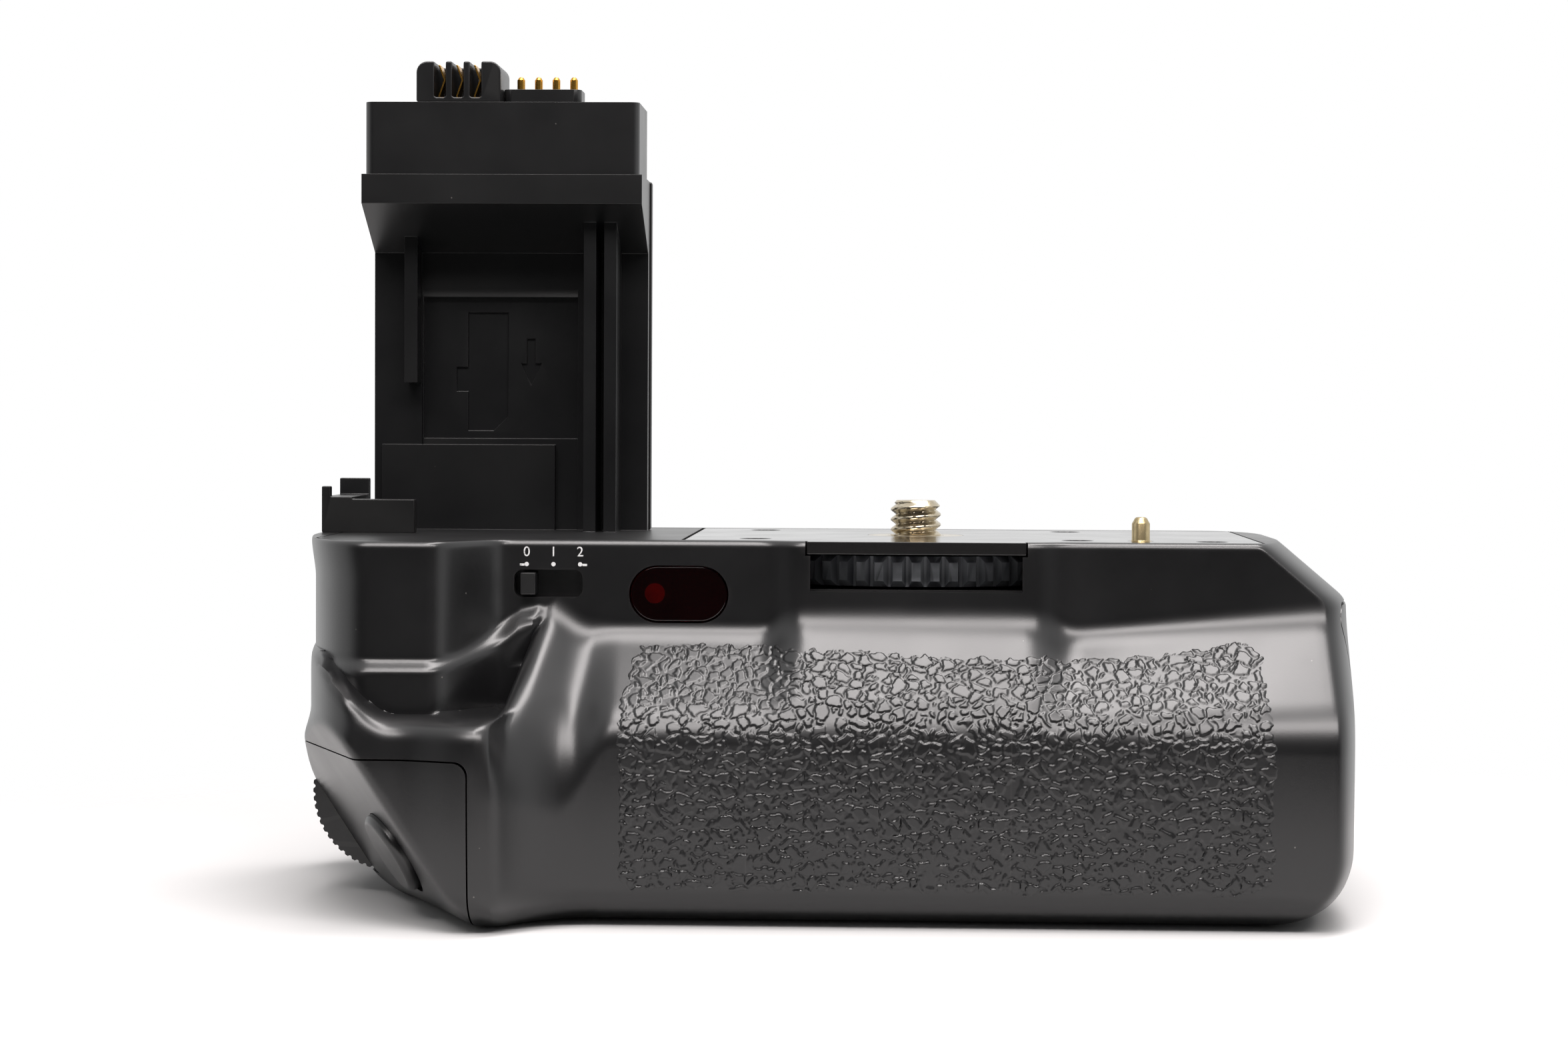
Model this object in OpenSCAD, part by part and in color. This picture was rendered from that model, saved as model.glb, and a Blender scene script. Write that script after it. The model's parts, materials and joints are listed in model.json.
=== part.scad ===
// Battery grip with a remote receiver: two shells round a chassis that carries a battery tray,
// a stem for the camera's battery bay, and an attachment wheel on a captive screw.
// The screw axis is the Z axis, the base rests on Z = 0 and the front faces -Y. All sizes in mm.

/* [Shells] */
// Distance from the screw axis to the left end
left_reach = 75.5; // [74:0.5:78]
// Wall thickness of the shells
wall = 1.8; // [1.6:0.1:2.0]
// Gap at the seams between fixed neighbours
seam = 0.2; // [0.1:0.05:0.3]
// Gap round the pieces that move
play = 0.35; // [0.3:0.05:0.45]
// Radial clearance of a turning shaft
run_gap = 0.05; // [0.02:0.01:0.08]
// Parting plane of the shells behind the screw axis
part_y = 2; // [1.5:0.5:3]
// Radius along the lower front edge
foot_r = 5; // [4:0.5:5.5]
// Radius along the upper front edge
brow_r = 0.8; // [0.5:0.1:1.2]
// Width of the rim round the top plates
rim = 1.6; // [1.2:0.1:2.2]
// Thickness of the top plate and the stem's flange
plate_t = 1.5; // [1.2:0.1:2]
// Thickness of the base plate
base_t = 1.8; // [1.6:0.1:2.2]

/* [Front form] */
// How far the hand lobe stands proud of the band
lobe_proud = 9.5; // [8:0.5:11]
// How far the wheel block stands proud of the band
block_proud = 1.5; // [0.8:0.1:2.2]
// How far the grip stands proud of the band
grip_proud = 11.9; // [10:0.1:13.5]
// How far the finger hook stands proud of the grip
hook_proud = 7.4; // [5:0.1:9]
// Height of the ridge along the grip
ridge_z = 24; // [23:0.5:25]
// Drop from the top face to the foot of the hand lobe
lobe_drop = 13.7; // [12:0.1:15]
// Drop from the top face to the foot of the band under the switch
switch_drop = 7.6; // [7:0.1:8.4]
// Drop from the top face to the foot of the band under the window
remote_drop = 11; // [10.4:0.1:11.8]
// Drop from the top face to the foot of the wheel block
wheel_drop = 7.9; // [7:0.1:9]
// Drop from the top face to the foot of the right pocket, near end
pocket_drop = 11; // [9:0.1:12]
// Drop from the top face to the foot of the right pocket, far end
pocket_end_drop = 7.6; // [6.5:0.1:9]
// Distance of the finger hook left of the screw axis
hook_x = 48.3; // [47:0.1:49.5]
// Half width of the wheel block
block_hw = 13.2; // [13:0.1:14]
// Width of the flanks beside the wheel block
flank = 5.2; // [4:0.1:6]
// Radius of the lower right corner
corner_r = 9; // [7:0.5:9.5]

/* [Battery tray] */
// Length of one cell pack
cell_l = 53.5; // [52:0.5:55]
// Width of one cell pack
cell_w = 36.1; // [35:0.1:37]
// Thickness of one cell pack
cell_t = 14.7; // [14:0.1:15.5]
// Free gap round a pack in its bay
cell_gap = 0.3; // [0.2:0.05:0.5]
// Web between the two bays
tray_web = 1.2; // [1:0.1:1.6]
// Side wall of the tray
tray_wall = 1.2; // [1:0.1:1.6]
// Room for the contacts at the inner end of the bays
contact_room = 4.6; // [4:0.1:6]
// Distance of the tray's inner end left of the screw axis
tray_in = 14; // [12:0.5:16]
// Depth of the end cap beyond its seam
cap_d = 5.6; // [5.2:0.1:6.4]
// Wall thickness of the chassis sleeve
chassis_wall = 1.2; // [1:0.1:1.5]
// Height of the sleeve's floor above the base
floor_h = 6.45; // [6.2:0.05:7]
// Diameter of the lock knob
knob_d = 14; // [12:0.5:16]

/* [Attachment] */
// Major diameter of the camera screw and of the tripod socket's thread
screw_d = 6.35; // [6:0.05:6.5]
// Minor diameter of the tripod socket's thread
socket_d = 5.2; // [5:0.05:5.5]
// Height of the screw above the top face
screw_proud = 4.4; // [4:0.1:5]
// Radius of the attachment wheel
wheel_r = 21.5; // [20.5:0.1:22]
// Thickness of the attachment wheel
wheel_t = 3.65; // [3.2:0.05:4]
// Number of teeth on the attachment wheel
wheel_teeth = 60; // [48:1:72]
// Depth of a tooth
tooth_d = 0.9; // [0.6:0.1:1.2]
// Diameter of the guide pin
guide_d = 2.2; // [2:0.1:2.6]
// Height of the guide pin above the top face
guide_proud = 2.9; // [2.4:0.1:3.4]
// Distance of the guide pin right of the screw axis
guide_x = 27.1; // [25:0.1:28]
// Distance of the guide pin in front of the screw axis
guide_y = 16; // [15:0.1:17]

/* [Stem] */
// Width of the stem
stem_w = 35.5; // [34.5:0.1:36]
// Thickness of the stem
stem_d = 14.7; // [14.2:0.1:15.2]
// Height of the stem above the top face
stem_h = 54.3; // [53:0.1:56]
// Distance of the stem's right side left of the screw axis
stem_x = 34.7; // [34.3:0.1:35.1]
// Thickness of the stem's rear panel
panel_t = 3.7; // [3.4:0.1:4.5]
// Height of the stem's cap
cap_h = 9.1; // [8.5:0.1:10]
// Height of the contact block above the cap
block_h = 5.1; // [4.6:0.1:5.6]
// Width of the contact block
block_w = 10.7; // [10.4:0.1:11.2]
// Depth of the contact block
block_d = 9.5; // [8.5:0.1:10]
// Pitch of the leaf contacts and of the pins
contact_pitch = 2.25; // [2.1:0.05:2.3]
// Diameter of a contact pin
pin_d = 1; // [0.8:0.05:1.2]

/* [Controls] */
// Diameter of the shutter button
shutter_d = 10.4; // [9.6:0.1:11]
// Travel of the shutter button
shutter_travel = 1.2; // [0.8:0.1:1.3]
// Tilt of the shutter button's facet towards the front, degrees
press_tilt = 20; // [19:0.5:21]
// Slope of the lower left corner from the vertical, degrees
press_slope = 33; // [32:0.5:34]
// Radius of the main dial
dial_r = 10; // [9.5:0.1:10.4]
// Width of the main dial
dial_w = 7; // [6:0.1:7.5]
// How far the main dial stands out of the corner
dial_proud = 1.55; // [1.2:0.05:1.8]
// Travel of the remote switch
switch_travel = 4.7; // [4:0.1:5]
// Width of the receiver window
window_w = 11.7; // [10.5:0.1:12.5]
// Height of the receiver window
window_h = 6.7; // [6:0.1:7]
// Diameter of the rear buttons
button_d = 6.4; // [5.8:0.1:7]
// Travel of the rear buttons
button_travel = 0.8; // [0.5:0.1:1]

/* [Hidden] */
$fn = 64;
tray_h = 2 * cell_t + tray_web;
tray_w = cell_w + 2 * cell_gap + 2 * tray_wall;
tray_end = 1.5;
tray_l = cell_l + cell_gap + contact_room + 2 * tray_end;
cap_x = tray_l - tray_in;
body_r = cap_x + cap_d;
sleeve_hw = tray_w / 2 + play + chassis_wall;
tray_z = floor_h + play;
tray_top = tray_z + tray_h;
carrier_t = 1.4;
deck_z = tray_top + play + carrier_t;
wheel_z = deck_z + play;
plate_z = wheel_z + wheel_t + play;
body_h = plate_z + plate_t;
band_y = sleeve_hw + seam + wall;
rear_y = max(wheel_r + 2 * play, sleeve_hw + seam) + wall;
cap_top = tray_top + seam;
lobe_x = 57;
lobe_run = 8.5;
hook_w = 10.5;
ridge_fall = 3.8;
crest_at = -hook_x - 0.3;
crest_lean = 3.4;
shoulder_rise = 7;
edge_r = 1.6;
foot_run = 9.5;
thumb_out = 3.6;
thumb_z = 17;
shoulder_z = ridge_z + 0.9;
left_side = 4;
right_side = 6;
left_round = 10;
right_round = 4.5;
rear_round = 6;
split_left = -56;
split_right = 38;
shut_z = ridge_z - 4;
flange_x = -28;
tilt_c = cos(press_tilt);
tilt_s = sin(press_tilt);
press_n = [-cos(press_slope) * tilt_c, -tilt_s, -sin(press_slope) * tilt_c];
press_p = [-left_reach + 13.8, -band_y - 6.2, 8.1];
shut_x = press_p[0] + 9.9;
corner_x = -left_reach + 0.7;
corner_z = 12.8;
dial_p = [corner_x + 2.9 + (dial_r - dial_proud) * cos(press_slope),
    corner_z - 4.4 + (dial_r - dial_proud) * sin(press_slope)];
dial_y = -1 - dial_w;
stem_left = -stem_x - stem_w;
stem_top = body_h + stem_h;
cap_z = stem_top - cap_h;
panel_y = stem_d - panel_t;
lip_z = cap_z - 3.7;
slant_z = cap_z - 9.4;
journal_r = 3;
shank_r = guide_d / 2 + 0.4;
hub_r = 4.2;
neck_r = screw_d / 2 + 0.25;
window_x = -28.3;
window_z = body_h - 6.45;
slot_x = -48;
slot_z = body_h - 5.25;
slot_h = 3.3;
knob_w = 1.8;
slot_l = knob_w + 2 * play + switch_travel + 1;
board_y = -band_y + 5.6;
rear_board_y = rear_y - wall - 5;
pad_x0 = -left_reach + 6.5;
button_at = [[pad_x0 + 4, 15], [pad_x0 + 4, 25], [pad_x0 + 14.5, 20]];
power_at = [pad_x0 + 26, 10];
power_travel = 3;
tray_knob_z = tray_z + tray_h / 2;
cam_x0 = cap_x + play;
cam_x1 = cam_x0 + 1.2;
cam_l = cap_top + play + 1.25 - tray_knob_z;
recess_x = body_r - 3.4;
door_z0 = floor_h - chassis_wall;
door_r = 3;
base_x0 = -left_reach + 29.5;
base_x1 = cap_x - 4;
base_y0 = -22;
base_y1 = 15.5;
screw_at = [for (x = [base_x0 + 6, base_x1 - 5.4]) for (y = [base_y0 + 8, base_y1 - 4.5]) [x, y]];
post_at = [[-19.5, -15.5], [19.5, -15.5], [-19.5, 15.5], [19.5, 15.5]];
shell_col = [0.16, 0.16, 0.17];
metal_col = [0.75, 0.75, 0.76];
gold_col = [0.8, 0.65, 0.3];
board_col = [0.1, 0.35, 0.2];

function clamp01(t) = min(max(t, 0), 1);
function smooth(t) = let (c = clamp01(t)) c * c * (3 - 2 * c);
function ramp(x, a, b) = smooth((x - a) / (b - a));
function mix(a, b, t) = a + (b - a) * t;
function hump(x, c, w) = smooth(1 - abs(x - c) / w);
function soft_min(a, b, k) = min(a, b) - pow(max(k - abs(a - b), 0), 2) / (4 * k);
function soft_max(a, b, k) = max(a, b) + pow(max(k - abs(a - b), 0), 2) / (4 * k);
function round_off(d, a) = d >= a ? 1 : sqrt(max(1 - pow((a - max(d, 0)) / a, 2), 0));
function arc_drop(d, r) = d >= r ? 0 : r - sqrt(max(r * r - pow(r - max(d, 0), 2), 0));
function hat(x, c, low, high) = clamp01(x < c ? 1 - (c - x) / low : 1 - (x - c) / high);
function arc_steps(r, n) = [for (i = [0:n - 1]) r * (1 - cos(90 * i / n))];
function thin(list) = [for (i = [0:len(list) - 1]) if (i % 2 == 0 || i == len(list) - 1) list[i]];
function end_steps(r, n) = [for (i = [0:n]) body_r - r * (1 - sin(90 * i / n))];
function between(a, b, n) = [for (i = [0:n - 1]) mix(a, b, i / n)];

// Left and right outline of the housing at a height
function waist(z) = ramp(z, shut_z, shoulder_z) - 0.5 * ramp(z, body_h - 5, body_h);
function left_x(z) =
    soft_max(waist(z) - left_reach, corner_x + (corner_z - z) * tan(press_slope), 2.5) + arc_drop(z, 4);
function right_x(z) =
    soft_min(body_r - 0.4 * ramp(z, ridge_z, body_h - 7), body_r - 0.6 - (z - body_h + 6.8) * 1.18, 1)
    - arc_drop(z, corner_r);

// Face of the upper band: hand lobe, switch and window, wheel block, right pocket
function band_face(x) =
    -band_y - lobe_proud * (1 - ramp(x, -lobe_x, lobe_run - lobe_x))
    - block_proud * (ramp(x, -block_hw - flank, -block_hw) - ramp(x, block_hw, block_hw + flank));
function foot_z(x) =
    let (a = mix(lobe_drop, switch_drop, ramp(x, -hook_x - 8.7, 3.8 - hook_x)))
    let (b = mix(a, remote_drop, ramp(x, 3.3 - hook_x, 10 - hook_x)))
    let (c = mix(b, wheel_drop, ramp(x, -block_hw - flank, -block_hw)))
    let (near = block_hw + flank + 1)
    let (d = mix(c, pocket_drop, ramp(x, block_hw, near)))
    body_h - mix(d, pocket_end_drop, clamp01((x - near) / (cap_x - near)));

// Grip, with the shutter housing and the finger hook proud of it; its ridge falls away towards the hook
function ridge_at(x) = ridge_z - ridge_fall * (1 - ramp(x, 6.8 - hook_x, 13.3 - hook_x));
function grip_face(x, z) =
    let (house = mix(4.6, hook_proud, ramp(x, -hook_x - 12, -hook_x - 2)))
    let (hook = hook_proud * pow(1 - min(max((x + hook_x) / hook_w, -1), 1), 2))
    -band_y - grip_proud - soft_min(house, hook, 1.2) + 1.4 * pow(clamp01((ridge_z - z) / ridge_z), 2);

// Right of the crest: band, sloping shelf and grip
function right_face(x, z) =
    let (band = band_face(x), foot = foot_z(x), ridge = ridge_at(x))
    let (shelf = band + (grip_face(x, ridge) - band) * (foot - z) / (foot - ridge))
    soft_max(soft_min(band, shelf, 2), grip_face(x, z), 3 + 0.8 * (ridge_z - ridge));

// Lobe, ledge and finger scoop, and before them the shutter housing up to its shoulder and crest
function crest_x(z) = crest_at + crest_lean * clamp01((z - ridge_z) / 11);
function shoulder_lift(x) = shoulder_rise * (1 - ramp(x, 3.5 - left_reach, 14.5 - left_reach));
function scoop_face(x, z) =
    let (near = hump(x, -hook_x - 1.7, 7))
    band_face(x) - (1.3 + 1.1 * near) * ramp(foot_z(x) - z, 0, 1.6 + 1.4 * near);
function body_face(x, z, inset) =
    let (crest = crest_x(z), turn = crest + 1.5 + inset)
    let (edge = soft_max(shoulder_z + shoulder_lift(x) - z, (x - crest) * 0.95, 1) - inset)
    let (house = grip_face(x, z) + 0.5 * pow(clamp01((z - shoulder_z + 6) / 6), 2))
    let (face = mix(house, right_face(x, z), ramp(x, crest - 1, crest + 1.5)))
    let (proud = face + arc_drop(edge, edge_r) + 30 * clamp01(-edge / 0.3))
    mix(soft_min(scoop_face(x, z), proud, 0.5), proud, ramp(x, turn, turn + 2));
function press_face(x, z) =
    press_p[1] - (press_n[0] * (x - press_p[0]) + press_n[2] * (z - press_p[2])) / press_n[1];

// Front and rear surface, with the ends and edges rounded, set in by a wall where asked
function front_y(x, z, inset) =
    let (dl = x - left_x(z) - inset, dr = right_x(z) - inset - x)
    let (kl = round_off(dl, left_round), kr = round_off(dr, right_round))
    let (a = mix(inset - left_side, body_face(x, z, inset) + inset, kl))
    let (b = mix(inset - right_side, a, kr))
    soft_max(b, press_face(x, z) + inset / tilt_s, 1.5) + arc_drop(body_h - z - inset, brow_r)
    + arc_drop(z - inset, foot_r - inset) * mix(1, foot_run / foot_r, kl * kr);
function rear_face(x, z, inset) =
    let (dl = x - left_x(z) - inset, dr = right_x(z) - inset - x)
    let (k = round_off(dl, rear_round) * round_off(dr, rear_round))
    mix(part_y + 8 - inset, rear_y + 1.6 * hump(x, -60, 20) * hump(z, 16, 16) - inset, k)
    - arc_drop(z - inset, foot_r - inset) - arc_drop(body_h - z - inset, brow_r);

// Stations across the front and rows up it, closer together where the form turns
front_cols = concat([for (d = arc_steps(left_round, 6)) d - left_reach],
    between(left_round - left_reach, crest_at - 1, 11), [for (d = [-1, -0.3, 0, 0.45, 1, 1.7]) crest_at + d],
    between(crest_at + 2.6, -block_hw - flank, 12), between(-block_hw - flank, -block_hw, 4),
    between(-block_hw, block_hw, 4), between(block_hw, block_hw + flank, 4),
    between(block_hw + flank, body_r - right_round, 9), end_steps(right_round, 8));
front_rows = concat(arc_steps(foot_r, 5), between(foot_r, shoulder_z - 5, 4),
    between(shoulder_z - 5, shoulder_z - 1.7, 3), [for (d = [-1.7, -1, -0.45, 0, 0.3]) shoulder_z + d],
    between(shoulder_z + 1.3, body_h - 7.4, 9),
    between(body_h - 7.4, body_h - brow_r, 6), [body_h - brow_r, body_h - brow_r / 4, body_h]);
rear_cols = concat([for (d = arc_steps(rear_round, 5)) max(d, 0.1) - left_reach],
    between(rear_round - left_reach, -40, 6), between(-40, body_r - rear_round, 5), end_steps(rear_round, 6));
rear_rows = concat(arc_steps(foot_r, 4), between(foot_r, body_h - 7, 9),
    between(body_h - 7, body_h - brow_r, 4), [body_h - brow_r, body_h]);
cap_cols = concat([cap_x], end_steps(cap_d * 0.95, 8));
cap_rows = concat(between(2, corner_r, 4), between(corner_r, ridge_z - 2, 3),
    between(ridge_z - 2, ridge_z + 3, 4), between(ridge_z + 3, cap_top + 1, 5), [cap_top + 1]);

// Stations are drawn in with the ends and follow the crest, rows follow the shoulder
function end_x(s, z, inset) =
    s < split_left
        ? mix(left_x(z) + inset, split_left, (s + left_reach) / (split_left + left_reach))
        : s > split_right
            ? mix(split_right, right_x(z) - inset, (s - split_right) / (body_r - split_right))
            : s;
function level(r, inset) = mix(inset, body_h - inset, r / body_h);
function front_at(s, r, inset) =
    let (flat = level(r, inset), z = flat + shoulder_lift(s) * hat(flat, shoulder_z, 17, 17))
    let (x = end_x(s, z, inset) + (crest_x(z) - crest_at) * hat(s, crest_at, 10, 12))
    [x, front_y(x, z, inset), z];
function rear_at(s, r, inset, out) =
    let (z = level(r, inset), x = end_x(s, z, inset))
    [x - out * hump(z, thumb_z, 11) * (1 - ramp(s, -left_reach, 16 - left_reach)), rear_face(x, z, inset), z];

// A solid between a grid of points and a flat plane behind it
module skin(grid, back_y, turned) {
    m = len(grid);
    n = len(grid[0]);
    pts = [for (row = grid) each row];
    ring = concat([for (i = [0:n - 1]) i], [for (j = [1:m - 1]) j * n + n - 1],
        [for (i = [n - 2:-1:0]) (m - 1) * n + i], [for (j = [m - 2:-1:1]) j * n]);
    k = len(ring);
    b = m * n;
    flat = [for (r = ring) [pts[r][0], back_y, pts[r][2]]];
    mid = [for (c = [0:2]) (flat[0][c] + flat[n - 1][c] + flat[n + m - 2][c] + flat[2 * n + m - 3][c]) / 4];
    faces = concat(
        [for (j = [0:m - 2]) for (i = [0:n - 2]) [j * n + i, j * n + n + i, j * n + n + i + 1]],
        [for (j = [0:m - 2]) for (i = [0:n - 2]) [j * n + i, j * n + n + i + 1, j * n + i + 1]],
        [for (i = [0:k - 1]) [ring[i], ring[(i + 1) % k], b + (i + 1) % k]],
        [for (i = [0:k - 1]) [ring[i], b + (i + 1) % k, b + i]],
        [for (i = [0:k - 1]) [b + i, b + (i + 1) % k, b + k]]);
    polyhedron(concat(pts, flat, [mid]), turned ? [for (f = faces) [f[0], f[2], f[1]]] : faces, convexity = 8);
}

// A solid through closed rings of points, one above the other
module loft(rings) {
    m = len(rings);
    n = len(rings[0]);
    faces = concat(
        [for (j = [0:m - 2]) for (i = [0:n - 1]) [j * n + i, j * n + n + i, j * n + n + (i + 1) % n]],
        [for (j = [0:m - 2]) for (i = [0:n - 1]) [j * n + i, j * n + n + (i + 1) % n, j * n + (i + 1) % n]],
        [[for (i = [0:n - 1]) i], [for (i = [n - 1:-1:0]) (m - 1) * n + i]]);
    polyhedron([for (r = rings) each r], faces, convexity = 8);
}

module front_form() {
    skin([for (r = front_rows) [for (s = front_cols) front_at(s, r, 0)]], part_y, false);
}

module front_hollow() {
    skin([for (r = thin(front_rows)) [for (s = front_cols) front_at(s, r, wall)]], part_y + 1, false);
}

// The thumb rest swells out to the left, from an edge on the parting plane
module rear_form() {
    skin([for (r = rear_rows)
        concat([[left_x(r), part_y + 0.4, r]], [for (s = rear_cols) rear_at(s, r, 0, thumb_out)])], part_y, true);
}

module rear_hollow() {
    skin([for (r = thin(rear_rows)) [for (s = thin(rear_cols)) rear_at(s, r, wall, 0)]], part_y - 1, true);
}

module box(from, to) {
    translate(from)
        cube(to - from);
}

module disc(at, r, h) {
    translate(at)
        cylinder(r = r, h = h);
}

// A cylinder along Y from y0 to y1
module pin_y(x, z, r, y0, y1) {
    translate([x, y0, z])
        rotate([-90, 0, 0])
            cylinder(r = r, h = y1 - y0);
}

// A cylinder along X from x0 to x1
module pin_x(y, z, r, x0, x1) {
    translate([x0, y, z])
        rotate([0, 90, 0])
            cylinder(r = r, h = x1 - x0);
}

// A plate with rounded corners, from x0 to x1 or from y0 to y1
module plate_x(low, high, r, x0, x1) {
    box([x0, low[0] + r, low[1]], [x1, high[0] - r, high[1]]);
    box([x0, low[0], low[1] + r], [x1, high[0], high[1] - r]);
    for (y = [low[0] + r, high[0] - r])
        for (z = [low[1] + r, high[1] - r])
            pin_x(y, z, r, x0, x1);
}

module plate_y(low, high, r, y0, y1) {
    box([low[0] + r, y0, low[1]], [high[0] - r, y1, high[1]]);
    box([low[0], y0, low[1] + r], [high[0], y1, high[1] - r]);
    for (x = [low[0] + r, high[0] - r])
        for (z = [low[1] + r, high[1] - r])
            pin_y(x, z, r, y0, y1);
}

// Children drawn with +Z along the outward normal of the shutter facet
module on_press() {
    translate(press_p)
        rotate([0, 0, atan2(press_n[1], press_n[0])])
            rotate([0, acos(press_n[2]), 0])
                children();
}

// Plan of the opening in the top, from one station to another, drawn in by a gap
function top_plan(x0, x1, gap) = concat(
    [for (x = concat([x0], [for (s = top_cols) if (s > x0 && s < x1) s], [x1]))
        [x, front_y(x, body_h - brow_r, 0) + rim + gap]],
    [[x1, rear_y - rim - 1 - gap], [x0, rear_y - rim - 1 - gap]]);
top_left = -left_reach + rim + 1.6;
top_right = body_r - 11.5;
top_cols = concat([for (d = arc_steps(left_round, 8)) d - left_reach], between(left_round - left_reach, top_right, 40));

module top_area(x0, x1, gap, z0, z1) {
    translate([0, 0, z0])
        linear_extrude(z1 - z0)
            polygon(top_plan(x0 + gap, x1 - gap, gap));
}

module base_area(gap, z0, z1) {
    box([base_x0 + gap, base_y0 + gap, z0], [base_x1 - gap, base_y1 - gap, z1]);
}

// The tray's door in the right end of the housing, grown by a gap
module door_plan(gap, x0, x1) {
    half = sleeve_hw + gap;
    plate_x([-half, door_z0 - gap], [half, cap_top + gap], door_r + gap, x0, x1);
}

// Room for the end of the chassis sleeve in the right end of the shells
module sleeve_space() {
    box([cap_x - 12, -sleeve_hw - seam, door_z0 - seam], [cap_x, sleeve_hw + seam, deck_z + seam]);
}

// Corner block of the shutter housing, grown by a gap; its seam rises round the left end
module shutter_block(gap) {
    x1 = shut_x + gap;
    z1 = shut_z + gap;
    plate_y([-90, -10], [x1, z1], 1.6, -80, 80);
    translate([-90, 0, 0])
        rotate([90, 0, 90])
            linear_extrude(30)
                polygon(concat([for (y = [-16:2:2]) [y, z1 + 4 * ramp(y, -16, 2)]], [[10, z1 + 4], [10, z1 - 2],
                    [-16, z1 - 2]]));
}

module front_shell() {
    color(shell_col)
        difference() {
            front_form();
            front_hollow();
            shutter_block(seam);
            sleeve_space();
            door_plan(play, cap_x - play, body_r + 10);
            top_area(top_left, top_right, 0, body_h - wall - 1, body_h + 1);
            box([-block_hw, -60, plate_z - seam], [block_hw, -band_y + 5, body_h + 1]);
            base_area(0, -1, wall + 1);
            box([-block_hw + 0.6, -60, wheel_z - play], [block_hw - 0.6, -band_y + 5, plate_z]);
            plate_y([slot_x, slot_z - slot_h / 2], [slot_x + slot_l, slot_z + slot_h / 2], 1, -60, -band_y + 5);
            window_plan(seam / 2, -60, -band_y + 5);
        }
}

module rear_shell() {
    color(shell_col)
        difference() {
            union() {
                difference() {
                    rear_form();
                    rear_hollow();
                    sleeve_space();
                    door_plan(play, cap_x - play, body_r + 10);
                    top_area(top_left, top_right, 0, body_h - wall - 1, body_h + 1);
                    base_area(0, -1, wall + 1);
                }
                for (x = [pad_x0 + 3, pad_x0 + 23])
                    pin_y(x, 31, 1.4, rear_board_y, rear_y - wall + 0.5);
            }
            for (p = button_at)
                pin_y(p[0], p[1], button_d / 2 + play, rear_y - wall - 2, rear_y + 9);
            box([power_at[0] - 2 - play, rear_y - wall - 1, power_at[1] - 1.2 - play],
                [power_at[0] + 2 + play + power_travel, rear_y + 9, power_at[1] + 1.2 + play]);
        }
}

module shutter_housing() {
    color(shell_col)
        difference() {
            intersection() {
                front_form();
                union() {
                    difference() {
                        shutter_block(0);
                        front_hollow();
                    }
                    on_press()
                        for (s = [-1, 1])
                            disc([0, s * 8.2, -8], 1.4, 7.5);
                    for (y = [dial_y - play - 2, dial_y + dial_w + play])
                        box([-90, y, 0.5], [dial_p[0] + 5, y + 2, shut_z]);
                }
            }
            on_press()
                disc([0, 0, -6], shutter_d / 2 + play, 12);
            pin_y(dial_p[0], dial_p[1], dial_r + play + 0.15, dial_y - play, dial_y + dial_w + play);
            pin_y(dial_p[0], dial_p[1], 1.5, dial_y - 5, dial_y + dial_w + 5);
        }
}

module top_plate() {
    color(shell_col)
        difference() {
            union() {
                top_area(flange_x, top_right, seam, plate_z, body_h);
                box([-block_hw + seam, -band_y - block_proud, plate_z], [block_hw - seam, -band_y + 6, body_h]);
                for (p = post_at)
                    disc([p[0], p[1], deck_z], 2.2, plate_z - deck_z + 0.5);
            }
            disc([0, 0, plate_z - 1], hub_r + 1.8, plate_t + 2);
            disc([guide_x, -guide_y, plate_z - 1], shank_r, plate_t + 2);
            disc([35.6, -17, plate_z - 1], 1.9, plate_t + 2);
            for (p = post_at)
                disc([p[0], p[1], body_h - 0.8], 1.9, 2);
            for (p = post_at)
                disc([p[0], p[1], deck_z - 1], 0.9, 8);
        }
}

module base_plate() {
    color(shell_col)
        difference() {
            union() {
                base_area(seam, 0, wall);
                base_area(-1.2, wall, wall + base_t - 0.4);
                for (p = screw_at)
                    disc([p[0], p[1], wall], 3, floor_h - chassis_wall - wall);
            }
            disc([0, 0, -1], 7.5, wall + 2);
            disc([0, 0, wall], 6, floor_h);
            for (p = screw_at)
                disc([p[0], p[1], -1], 1.2, floor_h);
            for (p = screw_at)
                disc([p[0], p[1], -1], 2.3, 2.2);
        }
}

module chassis() {
    x0 = -tray_in - play - chassis_wall;
    color([0.22, 0.22, 0.23])
        difference() {
            union() {
                box([x0, -sleeve_hw, floor_h - chassis_wall], [cap_x - play, sleeve_hw, deck_z]);
                box([base_x0, base_y0 + 5, floor_h - chassis_wall], [x0 + 1, base_y1 + 1.5, floor_h]);
            }
            box([x0 + chassis_wall, -tray_w / 2 - play, floor_h], [cap_x + 1, tray_w / 2 + play, tray_top + play]);
            disc([0, 0, deck_z - carrier_t - 1], journal_r + run_gap, carrier_t + 2);
            for (y = [-9, 9])
                box([x0 - 1, y - 4, tray_z + 3], [x0 + 3, y + 4, tray_top - 3]);
            box([cap_x - 4.5, -5.5, tray_top], [cap_x - 2, 5.5, deck_z - 0.6]);
            for (p = post_at)
                disc([p[0], p[1], deck_z - carrier_t - 1], 0.9, 4);
            for (p = screw_at)
                disc([p[0], p[1], floor_h - chassis_wall - 1], 1, 4);
        }
}

// Side view of the stem's frame, drawn along Y and Z
module stem_side(points, x0, x1) {
    translate([x0, 0, 0])
        rotate([90, 0, 90])
            linear_extrude(x1 - x0)
                polygon(points);
}

function slant_at(y) = mix(lip_z, slant_z, y / panel_y);

module stem_rail(x, w, y, z0) {
    stem_side([[y, z0], [panel_y + 0.5, z0], [panel_y + 0.5, slant_at(y) + 1], [y, slant_at(y) + 1]], x, x + w);
}

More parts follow.
